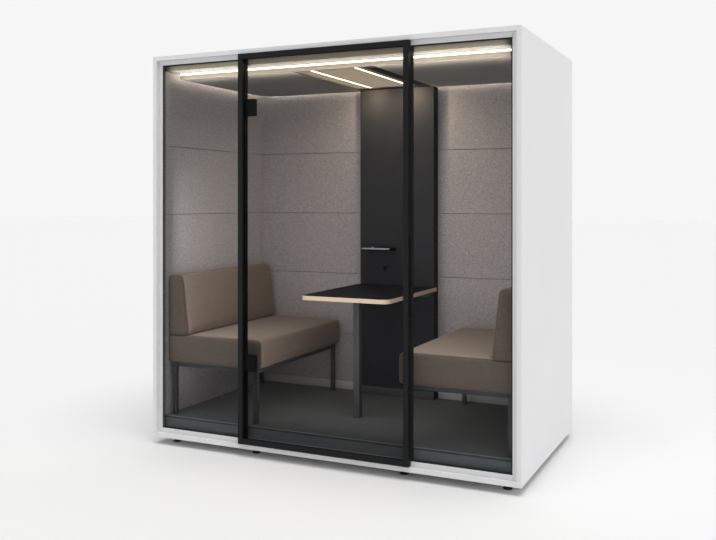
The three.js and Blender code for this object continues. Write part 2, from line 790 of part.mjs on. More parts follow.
// Ceiling raft: a slab with round back corners, a light band standing on its rim, a centre panel below
function raftOutline(inset) {
  const front = Math.max(RAFT_FRONT_CORNER - inset, 0);
  const back = RAFT_BACK_CORNER - inset;
  return rounded(-raftHalf + inset, raftHalf - inset, RAFT_FRONT + inset, raftBack - inset, [
    front,
    front,
    back,
    back,
  ]);
}

function addCeiling() {
  const slab = raise(raftOutline(0), raftUnderside, raftTop, RAFT_ARC_STEPS);
  const panelHalf = CENTRE_PANEL_WIDTH / 2;
  const panelY = [RAFT_FRONT + CENTRE_PANEL_END_GAP, raftBack - CENTRE_PANEL_END_GAP];
  const panelTop = raftUnderside + CENTRE_PANEL_THICKNESS;
  const pocket = block(
    -panelHalf - FIT,
    panelHalf + FIT,
    panelY[0] - FIT,
    panelY[1] + FIT,
    raftUnderside - 1,
    panelTop + FIT,
  );
  const hangerY = [RAFT_FRONT + RAFT_HANGER_END_INSET, raftBack - RAFT_HANGER_END_INSET];
  const hangers = hangerY.flatMap((y) =>
    [-RAFT_HANGER_X, RAFT_HANGER_X].map((x) =>
      cylinder(x, y, RAFT_HANGER_RADIUS, raftTop - 1, absorberUnderside - FIT, 12),
    ),
  );
  const raft = join(cut(slab, pocket), ...hangers);
  add("ceiling_raft", raft, finish(0x5d5853, 0.85));
  const lightLow = raftTop + FIT;
  const ring = raftOutline(EDGE_LIGHT_INSET);
  ring.holes.push(raftOutline(EDGE_LIGHT_INSET + EDGE_LIGHT_DEPTH));
  const band = raise(ring, lightLow, lightLow + EDGE_LIGHT_HEIGHT, RAFT_ARC_STEPS);
  add("raft_edge_light", band, lightFinish());

  const stripY = [RAFT_FRONT + STRIP_LIGHT_FRONT_INSET, raftBack - STRIP_LIGHT_BACK_INSET];
  const stripTop = raftUnderside + STRIP_LIGHT_DEPTH;
  const panel = block(-panelHalf, panelHalf, ...panelY, raftUnderside, panelTop);
  const slots = [];
  for (const [side, sign] of Object.entries(MIRROR)) {
    const x = (sign * STRIP_LIGHT_SPACING) / 2;
    const half = STRIP_LIGHT_WIDTH / 2;
    slots.push(
      block(
        x - half - FIT,
        x + half + FIT,
        stripY[0] - FIT,
        stripY[1] + FIT,
        raftUnderside - 1,
        stripTop + FIT,
      ),
    );
    const lens = rounded(x - half, x + half, ...stripY, half - 0.5);
    add(`strip_light_${side}`, raise(lens, raftUnderside, stripTop, 2), lightFinish());
  }
  add("ceiling_centre_panel", cut(panel, ...slots), anthracite());
}

// One fan blade about the fan axis: a swept, pitched plate between the hub and the tip
function fanBlade(start, zMiddle) {
  const across = 4;
  const along = 4;
  const root = FAN_HUB_RADIUS - FAN_BLADE_ROOT;
  const tip = FAN_BORE_RADIUS - FAN_TIP_GAP;
  const points = [];
  for (const face of [1, -1]) {
    for (let j = 0; j <= along; j += 1) {
      const v = j / along;
      const radius = root + (tip - root) * v;
      const chord = FAN_BLADE_CHORD_DEG * (1 - 0.15 * v);
      for (let i = 0; i <= across; i += 1) {
        const u = i / across - 0.5;
        const angle = start + THREE.MathUtils.degToRad(FAN_BLADE_SWEEP_DEG * v + chord * u);
        const arch = (FAN_BLADE_THICKNESS * (1 - 4 * u * u)) / 2;
        const z = zMiddle - FAN_BLADE_RISE * u * (1 - 0.35 * v) + arch;
        points.push(
          radius * Math.cos(angle),
          radius * Math.sin(angle),
          z + (face * FAN_BLADE_THICKNESS) / 2,
        );
      }
    }
  }
  const row = across + 1;
  const layer = row * (along + 1);
  const faces = [];
  const quad = (a, b, c, d) => faces.push(a, b, c, a, c, d);
  for (let j = 0; j < along; j += 1) {
    for (let i = 0; i < across; i += 1) {
      const a = j * row + i;
      quad(a, a + row, a + row + 1, a + 1);
      quad(layer + a, layer + a + 1, layer + a + row + 1, layer + a + row);
    }
    const left = j * row;
    const right = left + across;
    quad(left, layer + left, layer + left + row, left + row);
    quad(right, right + row, layer + right + row, layer + right);
  }
  for (let i = 0; i < across; i += 1) {
    const far = along * row + i;
    quad(i, i + 1, layer + i + 1, layer + i);
    quad(far, layer + far, layer + far + 1, far + 1);
  }
  const geometry = new THREE.BufferGeometry();
  geometry.setAttribute("position", new THREE.Float32BufferAttribute(points, 3));
  geometry.setIndex(faces);
  return geometry;
}

// Exhaust fan under the roof: square housing with a motor on struts, and an impeller above the motor
function addFan() {
  const top = roofUnderside - FIT;
  const low = top - FAN_THICKNESS;
  const half = FAN_SIZE / 2;
  const frame = rounded(FAN_X - half, FAN_X + half, FAN_Y - half, FAN_Y + half, FAN_CORNER);
  const bore = cylinder(FAN_X, FAN_Y, FAN_BORE_RADIUS, low - 1, top + 1, 32);
  const struts = [0, 1].map((turn) => {
    const size = [FAN_BORE_RADIUS + 2, FAN_STRUT_WIDTH / 2];
    const [a, b] = turn ? size.reverse() : size;
    return block(FAN_X - a, FAN_X + a, FAN_Y - b, FAN_Y + b, low, low + FAN_STRUT_HEIGHT);
  });
  const motor = cylinder(FAN_X, FAN_Y, FAN_HUB_RADIUS, low, low + FAN_MOTOR_HEIGHT);
  const housing = join(cut(raise(frame, low, top, 3), bore), ...struts, motor);
  add("fan_housing", housing, finish(0x1c1c1c, 0.6));

  const hubLow = low + FAN_MOTOR_HEIGHT + FIT;
  const hubTop = top - FAN_HUB_HEADROOM;
  const hubProfile = [
    [0, hubLow],
    [FAN_HUB_RADIUS, hubLow],
    [FAN_HUB_RADIUS, hubTop - FAN_HUB_CHAMFER],
    [FAN_HUB_RADIUS - FAN_HUB_CHAMFER, hubTop],
    [0, hubTop],
  ].map(([r, z]) => new THREE.Vector2(r, z));
  const hub = new THREE.LatheGeometry(hubProfile, FAN_BLADES * 4).rotateX(Math.PI / 2);
  const middle = (hubLow + hubTop) / 2;
  const blades = [];
  for (let i = 0; i < FAN_BLADES; i += 1) {
    blades.push(fanBlade((i * 2 * Math.PI) / FAN_BLADES, middle));
  }
  const impeller = add("fan_impeller", join(hub, ...blades), finish(0x252525, 0.55));
  impeller.position.set(FAN_X, FAN_Y, 0);

  const slots = [];
  for (let i = 0; i < GRILLE_SLOTS; i += 1) {
    const y = (i - (GRILLE_SLOTS - 1) / 2) * GRILLE_SLOT_PITCH;
    const reach = Math.sqrt((GRILLE_RADIUS - GRILLE_RIM) ** 2 - y ** 2);
    const slotHalf = GRILLE_SLOT_WIDTH / 2;
    const slot = rounded(
      FAN_X - reach,
      FAN_X + reach,
      FAN_Y + y - slotHalf,
      FAN_Y + y + slotHalf,
      slotHalf - 0.5,
    );
    slots.push(raise(slot, CASE_HEIGHT - GRILLE_THICKNESS - 1, CASE_HEIGHT + 1, 1));
  }
  const disc = cylinder(FAN_X, FAN_Y, GRILLE_RADIUS, CASE_HEIGHT - GRILLE_THICKNESS, CASE_HEIGHT);
  const grille = cut(disc, ...slots);
  add("roof_grille", grille, finish(0xdcdcdc, 0.5));
}

// Table: a plywood top with round front corners, one tube leg and an angle bracket on the column
function addTable() {
  const half = TABLE_WIDTH / 2;
  const back = columnFace - FIT;
  const outline = rounded(-half, half, TABLE_FRONT, back, [TABLE_CORNER, TABLE_CORNER, 0, 0]);
  add("table_top", raise(outline, tableUnderside, tableTop, 5), finish(0x37383c, 0.6));

  const legY = TABLE_FRONT + TABLE_LEG_SETBACK;
  const tube = TABLE_LEG_TUBE / 2;
  const plate = TABLE_LEG_PLATE / 2;
  const plateTop = tableUnderside - FIT;
  const shank = raise(
    rounded(-tube, tube, legY - tube, legY + tube, BENCH_TUBE_RADIUS),
    FLOOR_TOP + FIT,
    plateTop,
    2,
  );
  const flange = raise(
    rounded(-plate, plate, legY - plate, legY + plate, TABLE_LEG_PLATE_RADIUS),
    plateTop - TABLE_LEG_PLATE_THICKNESS,
    plateTop,
    4,
  );
  add("table_leg", join(shank, flange), tubeBlack());

  const angle = new THREE.Shape();
  angle.moveTo(back, plateTop);
  angle.lineTo(back - BRACKET_LEG, plateTop);
  angle.lineTo(back - BRACKET_LEG, plateTop - BRACKET_STEEL);
  angle.lineTo(back - BRACKET_STEEL, plateTop - BRACKET_STEEL);
  angle.lineTo(back - BRACKET_STEEL, plateTop - BRACKET_LEG);
  angle.lineTo(back, plateTop - BRACKET_LEG);
  add("table_bracket", alongX(angle, -BRACKET_LENGTH / 2, BRACKET_LENGTH / 2), tubeBlack());
}

// Grid lines across a cushion: close together in the rounded edge, even between
function cushionLines(half, edge, steps) {
  const inner = half - edge;
  const rim = [half, half - edge * 0.3, inner];
  const middle = [];
  for (let i = 1; i < steps; i += 1) {
    middle.push(-inner + (2 * inner * i) / steps);
  }
  return [...rim.map((v) => -v), ...middle, ...rim.reverse()];
}

// A firm upholstered block about its own middle: rounded edges, a flat underside and back, sides drawn
// in between the corners, and a crown that swell(x, y, z) gives outward for each face point
function cushion(size, steps, shapePoint) {
  const lines = size.map((length, axis) => cushionLines(length / 2, CUSHION_EDGE, steps[axis]));
  const geometry = new THREE.BoxGeometry(2, 2, 2, ...lines.map((line) => line.length - 1));
  const position = geometry.getAttribute("position");
  const inner = size.map((length) => length / 2 - CUSHION_EDGE);
  for (let i = 0; i < position.count; i += 1) {
    const raw = [position.getX(i), position.getY(i), position.getZ(i)].map((value, axis) => {
      const last = lines[axis].length - 1;
      return lines[axis][Math.round(((value + 1) / 2) * last)];
    });
    const core = raw.map((value, axis) => THREE.MathUtils.clamp(value, -inner[axis], inner[axis]));
    const out = new THREE.Vector3(...raw.map((value, axis) => value - core[axis]));
    if (out.length() > 0) out.setLength(CUSHION_EDGE);
    const point = new THREE.Vector3(...core).add(out);
    shapePoint(point);
    position.setXYZ(i, point.x, point.y, point.z);
  }
  const bare = new THREE.BufferGeometry();
  bare.setAttribute("position", position);
  bare.setIndex(geometry.index);
  return mergeVertices(bare, 1e-3);
}

const hump = (value, half) => Math.max(0, 1 - (value / half) ** 2);

// Seat of the left bench: the crown rises over the sitting area and is level under the backrest
function seatCushion() {
  const size = [SEAT_DEPTH, benchLength, SEAT_THICKNESS];
  const [a, b, c] = size.map((length) => length / 2);
  const across = 7;
  const sitStart = -a + BACKREST_FOOT + (SEAT_DEPTH - 2 * CUSHION_EDGE) / across;
  const sitMiddle = (a + sitStart) / 2;
  const sitHalf = (a - sitStart) / 2;
  return cushion(size, [across, 10, 3], (p) => {
    const level = hump(p.z, c);
    p.y -= Math.sign(p.y) * CUSHION_DRAW_IN * hump(p.x, a) * level * (Math.abs(p.y) > b / 2 ? 1 : 0);
    if (p.x > a / 2) p.x -= CUSHION_DRAW_IN * hump(p.y, b) * level;
    if (p.z > 0 && p.x > sitStart) {
      p.z += SEAT_CROWN * hump(p.x - sitMiddle, sitHalf) * hump(p.y, b) * (p.z / c);
    }
  });
}

// Backrest of the left bench: a wedge, thick at the seat, with a crowned face
function backrestCushion() {
  const size = [BACKREST_FOOT, benchLength, BACKREST_HEIGHT];
  const [a, b, c] = size.map((length) => length / 2);
  return cushion(size, [2, 10, 5], (p) => {
    const rise = (p.z + c) / (2 * c);
    const thickness = BACKREST_FOOT + (BACKREST_HEAD - BACKREST_FOOT) * rise;
    p.x = -a + ((p.x + a) * thickness) / BACKREST_FOOT;
    const level = hump(p.z, c);
    if (Math.abs(p.y) > b / 2) p.y -= Math.sign(p.y) * CUSHION_DRAW_IN * level;
    if (p.x > -a + thickness / 2) p.x += BACKREST_CROWN * hump(p.y, b) * level;
  });
}

// Bench frame of the left bench: four legs under a ring of rails, one welded piece
function benchFrame(x0, x1, y0, y1) {
  const top = seatUnderside - FIT;
  const railLow = top - BENCH_TUBE;
  const ring = rounded(x0, x1, y0, y1, BENCH_TUBE_RADIUS);
  ring.holes.push(rounded(x0 + BENCH_TUBE, x1 - BENCH_TUBE, y0 + BENCH_TUBE, y1 - BENCH_TUBE, 0));
  const legs = [x0, x1 - BENCH_TUBE].flatMap((x) =>
    [y0, y1 - BENCH_TUBE].map((y) =>
      raise(
        rounded(x, x + BENCH_TUBE, y, y + BENCH_TUBE, BENCH_TUBE_RADIUS),
        FLOOR_TOP + FIT,
        railLow + BENCH_TUBE / 2,
        2,
      ),
    ),
  );
  return join(raise(ring, railLow, top, 2), ...legs);
}

function addBenches() {
  const wall = wallFace - BENCH_WALL_GAP;
  const middleY = BENCH_START + benchLength / 2;
  for (const [side, sign] of Object.entries(MIRROR)) {
    const turn = (geometry) => (sign > 0 ? geometry.rotateZ(Math.PI) : geometry);
    const seat = add(`seat_cushion_${side}`, turn(seatCushion()), upholstery());
    seat.position.set(sign * (wall - SEAT_DEPTH / 2), middleY, seatUnderside + SEAT_THICKNESS / 2);
    const backrest = add(`backrest_${side}`, turn(backrestCushion()), upholstery());
    const backrestZ = seatTop + FIT + BACKREST_HEIGHT / 2;
    backrest.position.set(sign * (wall - BACKREST_FOOT / 2), middleY, backrestZ);
    const [x0, x1] = span(sign, wall - SEAT_DEPTH + BENCH_FRAME_INSET, wall - BENCH_FRAME_INSET);
    const y0 = BENCH_START + BENCH_FRAME_INSET;
    const y1 = BENCH_START + benchLength - BENCH_FRAME_INSET;
    add(`bench_frame_${side}`, benchFrame(x0, x1, y0, y1), tubeBlack());
  }
}

addCasing();
addFeet();
addFrontFrame();
addJambs();
addFixedGlass();
addHinges();
addDoor();
addFloor();
addWalls();
addColumn();
addAbsorber();
addCeiling();
addFan();
addTable();
addBenches();

export default pod;
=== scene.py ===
"""Acoustic office pod in a pale studio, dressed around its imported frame.

Lengths are in metres unless a name ends in _mm. The shared frame has +X to the right seen from the
door, +Y into the pod and +Z up, with the origin on the ground under the middle of the pod.
"""

import logging
import math
from collections.abc import Callable, Iterator
from contextlib import contextmanager
from dataclasses import dataclass, field
from enum import Enum
from typing import ClassVar

import bpy
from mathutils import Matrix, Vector


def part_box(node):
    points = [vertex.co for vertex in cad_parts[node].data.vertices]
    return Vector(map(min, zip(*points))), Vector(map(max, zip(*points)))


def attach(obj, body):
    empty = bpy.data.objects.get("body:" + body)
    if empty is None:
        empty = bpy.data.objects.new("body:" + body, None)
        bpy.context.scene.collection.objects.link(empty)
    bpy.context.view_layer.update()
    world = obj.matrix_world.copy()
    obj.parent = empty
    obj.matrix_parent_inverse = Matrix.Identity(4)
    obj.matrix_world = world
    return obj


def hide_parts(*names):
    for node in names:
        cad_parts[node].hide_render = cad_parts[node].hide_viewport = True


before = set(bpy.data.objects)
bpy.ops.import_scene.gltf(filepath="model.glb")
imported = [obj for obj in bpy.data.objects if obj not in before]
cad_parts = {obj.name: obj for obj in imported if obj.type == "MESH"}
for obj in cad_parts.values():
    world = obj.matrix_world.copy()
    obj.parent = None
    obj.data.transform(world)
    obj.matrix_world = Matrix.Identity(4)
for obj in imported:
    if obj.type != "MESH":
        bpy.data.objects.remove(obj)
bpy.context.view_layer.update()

log = logging.getLogger("pod")
MM = 0.001
TOUCH = 0.0003  # gap between two pieces that touch
MERGE = 1e-5  # vertices closer than this are one
SKIRTING_HEIGHT = 0.0535
SMOOTH_ANGLE = math.radians(40)
QUARTER_TURN = math.pi / 2


class Body(str, Enum):
    """Rigid bodies of the frame that an added piece rides on."""

    POD = "pod"
    DOOR = "door"


class Slot(str, Enum):
    """Material slots of the record, one named by each kind of added piece."""

    UPHOLSTERY = "upholstery_taupe"
    SEAL = "seal_black"
    PLATFORM = "platform_grey"
    METAL = "pin_steel"


class Worded(Enum):
    """A choice whose name is part of the names of nodes and pieces."""

    @property
    def word(self) -> str:
        """The choice in lower case, as node names have it."""
        return self.name.lower()


class Side(Worded):
    """The two benches, walls and panes, by the sign of x."""

    LEFT = -1
    RIGHT = 1


class PaneFace(Worded):
    """The two faces of a pane, by the sign of the way out of it along y."""

    OUTER = -1
    INNER = 1


class HingeLevel(Worded):
    """The two hinges of the door, from the floor up."""

    LOWER = 0
    UPPER = 1


def linear(code: str) -> tuple[float, float, float, float]:
    """Turns an sRGB hex colour into linear light.

    Args:
        code: Six hex digits with a leading hash.

    Returns:
        Red, green, blue and full alpha for a colour socket.
    """
    values = [int(code[i : i + 2], 16) / 255 for i in (1, 3, 5)]
    light = [v / 12.92 if v <= 0.04045 else ((v + 0.055) / 1.055) ** 2.4 for v in values]
    return (*light, 1.0)


def put(
    tree: bpy.types.NodeTree,
    kind: str,
    links: dict[str | int, object] | None = None,
    **settings: object,
) -> bpy.types.Node:
    """Adds one node to a tree.

    Args:
        tree: Node tree that gets the node.
        kind: Blender's type name of the node.
        links: Input name or number to a socket that feeds it, or to its plain value.
        settings: Attributes of the node itself.

    Returns:
        The new node.
    """
    made = tree.nodes.new(kind)
    for name, value in settings.items():
        setattr(made, name, value)
    for key, value in (links or {}).items():
        if isinstance(value, bpy.types.NodeSocket):
            tree.links.new(value, made.inputs[key])
        else:
            made.inputs[key].default_value = value
    return made


def per_mm(size_mm: float) -> float:
    """Texture scale on Object coordinates, in metres, for features of that size."""
    return 1 / (size_mm * MM)


@dataclass(frozen=True)
class Finish:
    """A surface finish, made once into a material of its own name."""

    name: str

    def material(self) -> bpy.types.Material:
        """Makes the material, or finds the one made before.

        Returns:
            The material with the surface that the finish describes.
        """
        known = bpy.data.materials.get(self.name)
        if known:
            return known
        made = bpy.data.materials.new(self.name)
        made.use_nodes = True
        tree = made.node_tree
        tree.nodes.clear()
        output = put(tree, "ShaderNodeOutputMaterial")
        tree.links.new(self.surface(tree), output.inputs["Surface"])
        return made

    def surface(self, tree: bpy.types.NodeTree) -> bpy.types.NodeSocket:
        """Builds the shader; each finish has its own.

        Args:
            tree: Empty node tree of the material.

        Returns:
            The shader socket for the material output.
        """
        raise NotImplementedError


@dataclass(frozen=True)
class Coated(Finish):
    """A coat with a fine grit: lacquer, powder coat or moulded plastic.

    The eye sees an even colour with a faint cloud, and a highlight broken by the grit.
    """

    colour: str = "#ffffff"
    cloud: str = "#ffffff"
    cloud_mm: float = 300.0
    grit_mm: float = 2.0
    grit_depth_mm: float = 0.02
    roughness: float = 0.45
    roughness_spread: float = 0.08
    specular: float = 0.5
    metallic: float = 0.0

    def surface(self, tree: bpy.types.NodeTree) -> bpy.types.NodeSocket:
        """Colour cloud, grit bump and uneven gloss on one shader.

        Args:
            tree: Empty node tree of the material.

        Returns:
            The shader socket for the material output.
        """
        place = put(tree, "ShaderNodeTexCoord").outputs["Object"]
        clouds = put(
            tree,
            "ShaderNodeTexNoise",
            {"Vector": place, "Scale": per_mm(self.cloud_mm), "Detail": 3.0, "Roughness": 0.6},
        )
        tint = put(
            tree,
            "ShaderNodeMix",
            {0: clouds.outputs["Fac"], 6: linear(self.colour), 7: linear(self.cloud)},
            data_type="RGBA",
        )
        grit = put(
            tree,
            "ShaderNodeTexNoise",
            {"Vector": place, "Scale": per_mm(self.grit_mm), "Detail": 2.0, "Roughness": 0.5},
        )
        gloss = put(
            tree,
            "ShaderNodeMapRange",
            {
                "Value": grit.outputs["Fac"],
                "To Min": self.roughness - self.roughness_spread,
                "To Max": self.roughness + self.roughness_spread,
            },
        )
        bump = put(
            tree,
            "ShaderNodeBump",
            {"Height": grit.outputs["Fac"], "Strength": 0.5, "Distance": self.grit_depth_mm * MM},
        )
        shader = put(
            tree,
            "ShaderNodeBsdfPrincipled",
            {
                "Base Color": tint.outputs[2],
                "Roughness": gloss.outputs["Result"],
                "Normal": bump.outputs["Normal"],
                "Metallic": self.metallic,
                "Specular IOR Level": self.specular,
            },
        )
        return shader.outputs["BSDF"]


@dataclass(frozen=True)
class Pane(Finish):
    """Laminated glass with a low-reflection coat: clear, with a grey tint and a faint mirror.

    Lamps shine straight through it, so the cabin behind it is lit.
    """

    tint: str = "#ffffff"
    ior: float = 1.06

    def surface(self, tree: bpy.types.NodeTree) -> bpy.types.NodeSocket:
        """Glass to the eye, a tinted film to light on its way in.

        Args:
            tree: Empty node tree of the material.

        Returns:
            The shader socket for the material output.
        """
        glass = put(
            tree,
            "ShaderNodeBsdfPrincipled",
            {
                "Base Color": linear(self.tint),
                "Roughness": 0.0,
                "IOR": self.ior,
                "Transmission Weight": 1.0,
            },
        )
        film = put(tree, "ShaderNodeBsdfTransparent", {"Color": linear(self.tint)})
        path = put(tree, "ShaderNodeLightPath")
        passing = put(
            tree,
            "ShaderNodeMath",
            {0: path.outputs["Is Shadow Ray"], 1: path.outputs["Is Diffuse Ray"]},
            operation="MAXIMUM",
        )
        both = put(
            tree,
            "ShaderNodeMixShader",
            {0: passing.outputs[0], 1: glass.outputs["BSDF"], 2: film.outputs["BSDF"]},
        )
        return both.outputs["Shader"]


@dataclass(frozen=True)
class PressedFelt(Finish):
    """Needled acoustic felt: light and dark fibres pressed flat, dull from every side."""

    dark: str = "#888385"
    light: str = "#b1acae"
    fibre_mm: float = 7.0
    fibre_width_mm: float = 1.6
    fibre_turns: tuple[float, float] = (0.5, -0.7)
    mottle_mm: float = 10.0
    nap_mm: float = 0.4
    sheen: float = 0.25

    def surface(self, tree: bpy.types.NodeTree) -> bpy.types.NodeSocket:
        """Two crossed layers of stretched fibres over a soft mottle.

        Args:
            tree: Empty node tree of the material.

        Returns:
            The shader socket for the material output.
        """
        place = put(tree, "ShaderNodeTexCoord").outputs["Object"]
        layers = []
        along, across = per_mm(self.fibre_mm), per_mm(self.fibre_width_mm)
        for turn in self.fibre_turns:
            laid = put(
                tree,
                "ShaderNodeMapping",
                {"Vector": place, "Rotation": (turn, turn, turn), "Scale": (along, along, across)},
            )
            layer = put(
                tree,
                "ShaderNodeTexNoise",
                {"Vector": laid.outputs["Vector"], "Scale": 1.0, "Detail": 4.0},
            )
            layers.append(layer)
        fibres = put(
            tree,
            "ShaderNodeMath",
            {0: layers[0].outputs["Fac"], 1: layers[1].outputs["Fac"]},
            operation="ADD",
        )
        mottle = put(
            tree,
            "ShaderNodeTexNoise",
            {"Vector": place, "Scale": per_mm(self.mottle_mm), "Detail": 5.0, "Roughness": 0.65},
        )
        mixed = put(
            tree,
            "ShaderNodeMath",
            {0: fibres.outputs[0], 1: mottle.outputs["Fac"]},
            operation="ADD",
        )
        # the three noises sum to about 1.5 and stray by a quarter either way
        share = put(
            tree,
            "ShaderNodeMapRange",
            {"Value": mixed.outputs[0], "From Min": 1.25, "From Max": 1.75},
        )
        tint = put(
            tree,
            "ShaderNodeMix",
            {0: share.outputs["Result"], 6: linear(self.dark), 7: linear(self.light)},
            data_type="RGBA",
        )
        bump = put(
            tree,
            "ShaderNodeBump",
            {"Height": fibres.outputs[0], "Strength": 0.6, "Distance": self.nap_mm * MM},
        )
        shader = put(
            tree,
            "ShaderNodeBsdfPrincipled",
            {
                "Base Color": tint.outputs[2],
                "Roughness": 0.95,
                "Specular IOR Level": 0.2,
                "Sheen Weight": self.sheen,
                "Sheen Roughness": 0.5,
                "Normal": bump.outputs["Normal"],
            },
        )
        return shader.outputs["BSDF"]


@dataclass(frozen=True)
class LoopCarpet(Finish):
    """Looped carpet tile: a dark pile of round loops, matt, each loop darkened towards its rim by
    painted shade in the gaps between loops.
    """

    # light colours the middles of the loops, dark is the painted shade in the gaps between them
    dark: str = "#252727"
    light: str = "#3b3d3d"
    loop_mm: float = 5.0
    pile_mm: float = 1.2
    wear_mm: float = 180.0

    def surface(self, tree: bpy.types.NodeTree) -> bpy.types.NodeSocket:
        """Round loops from a cell pattern, tinted loop by loop.

        Args:
            tree: Empty node tree of the material.

        Returns:
            Round loops from a cell pattern, with painted shade darkening each loop towards the
            gaps, scaled by a slow wear noise.
        """
        place = put(tree, "ShaderNodeTexCoord").outputs["Object"]
        loops = put(
            tree,
            "ShaderNodeTexVoronoi",
            {"Vector": place, "Scale": per_mm(self.loop_mm), "Randomness": 0.7},
        )
        worn = put(
            tree,
            "ShaderNodeTexNoise",
            {"Vector": place, "Scale": per_mm(self.wear_mm), "Detail": 4.0},
        )
        # painted shade: the colour darkens from each loop's middle towards the gaps, by the cell
        # distance times the wear noise
        gap_shade_and_wear = put(
            tree,
            "ShaderNodeMath",
            {0: loops.outputs["Distance"], 1: worn.outputs["Fac"]},
            operation="MULTIPLY",
        )
        tint = put(
            tree,
            "ShaderNodeMix",
            {0: gap_shade_and_wear.outputs[0], 6: linear(self.light), 7: linear(self.dark)},
            data_type="RGBA",
        )
        bump = put(
            tree,
            "ShaderNodeBump",
            {"Height": loops.outputs["Distance"], "Strength": 0.7, "Distance": self.pile_mm * MM},
            invert=True,
        )
        shader = put(
            tree,
            "ShaderNodeBsdfPrincipled",
            {
                "Base Color": tint.outputs[2],
                "Roughness": 0.92,
                "Sheen Weight": 0.2,
                "Normal": bump.outputs["Normal"],
            },
        )
        return shader.outputs["BSDF"]


@dataclass(frozen=True)
class LaminatedPly(Finish):
    """Dark laminate on birch plywood: a matt near-black sheet, pale and brown plies on its edge."""

    sheet: str = "#1d1f26"
    sheet_cloud: str = "#21232a"
    pale_ply: str = "#dbcab6"
    brown_ply: str = "#b69d86"
    sheet_grit_mm: float = 3.0
    sheet_depth_mm: float = 0.03
    level_from: float = 0.7
    ply_mm: float = 2.6
    ply_share: float = 0.25
    grain_mm: float = 1.4
    grain_stretch: float = 6.0

    def surface(self, tree: bpy.types.NodeTree) -> bpy.types.NodeSocket:
        """Sheet where the face is level, plies where it is upright.

        Args:
            tree: Empty node tree of the material.

        Returns:
            The shader socket for the material output.
        """
        place = put(tree, "ShaderNodeTexCoord").outputs["Object"]
        normal = put(tree, "ShaderNodeNewGeometry").outputs["Normal"]
        facing = put(tree, "ShaderNodeSeparateXYZ", {"Vector": normal})
        level = put(tree, "ShaderNodeMath", {0: facing.outputs["Z"]}, operation="ABSOLUTE")
        is_sheet = put(
            tree,
            "ShaderNodeMath",
            {0: level.outputs[0], 1: self.level_from},
            operation="GREATER_THAN",
        )
        height = put(tree, "ShaderNodeSeparateXYZ", {"Vector": place})
        layer = put(
            tree,
            "ShaderNodeMath",
            {0: height.outputs["Z"], 1: math.pi * per_mm(self.ply_mm)},
            operation="MULTIPLY",
        )
        wave = put(tree, "ShaderNodeMath", {0: layer.outputs[0]}, operation="SINE")
        along = per_mm(self.grain_mm * self.grain_stretch)
        stretched = put(
            tree,
            "ShaderNodeMapping",
            {"Vector": place, "Scale": (along, along, per_mm(self.grain_mm))},
        )
        grain = put(
            tree,
            "ShaderNodeTexNoise",
            {"Vector": stretched.outputs["Vector"], "Scale": 1.0, "Detail": 4.0},
        )
        ply = put(
            tree,
            "ShaderNodeMath",
            {0: wave.outputs[0], 1: self.ply_share, 2: grain.outputs["Fac"]},
            operation="MULTIPLY_ADD",
        )
        wood = put(
            tree,
            "ShaderNodeMix",
            {0: ply.outputs[0], 6: linear(self.pale_ply), 7: linear(self.brown_ply)},
            data_type="RGBA",
        )
        fine = put(
            tree,
            "ShaderNodeTexNoise",
            {"Vector": place, "Scale": per_mm(self.sheet_grit_mm), "Detail": 3.0},
        )
        sheet = put(
            tree,
            "ShaderNodeMix",
            {0: fine.outputs["Fac"], 6: linear(self.sheet), 7: linear(self.sheet_cloud)},
            data_type="RGBA",
        )
        tint = put(
            tree,
            "ShaderNodeMix",
            {0: is_sheet.outputs[0], 6: wood.outputs[2], 7: sheet.outputs[2]},
            data_type="RGBA",
        )
        bump = put(
            tree,
            "ShaderNodeBump",
            {"Height": fine.outputs["Fac"], "Strength": 0.3, "Distance": self.sheet_depth_mm * MM},
        )
        gloss = put(
            tree,
            "ShaderNodeMapRange",
            {"Value": fine.outputs["Fac"], "To Min": 0.55, "To Max": 0.7},
        )
        shader = put(
            tree,
            "ShaderNodeBsdfPrincipled",
            {
                "Base Color": tint.outputs[2],
                "Roughness": gloss.outputs["Result"],
                "Specular IOR Level": 0.05,
                "Normal": bump.outputs["Normal"],
            },
        )
        return shader.outputs["BSDF"]


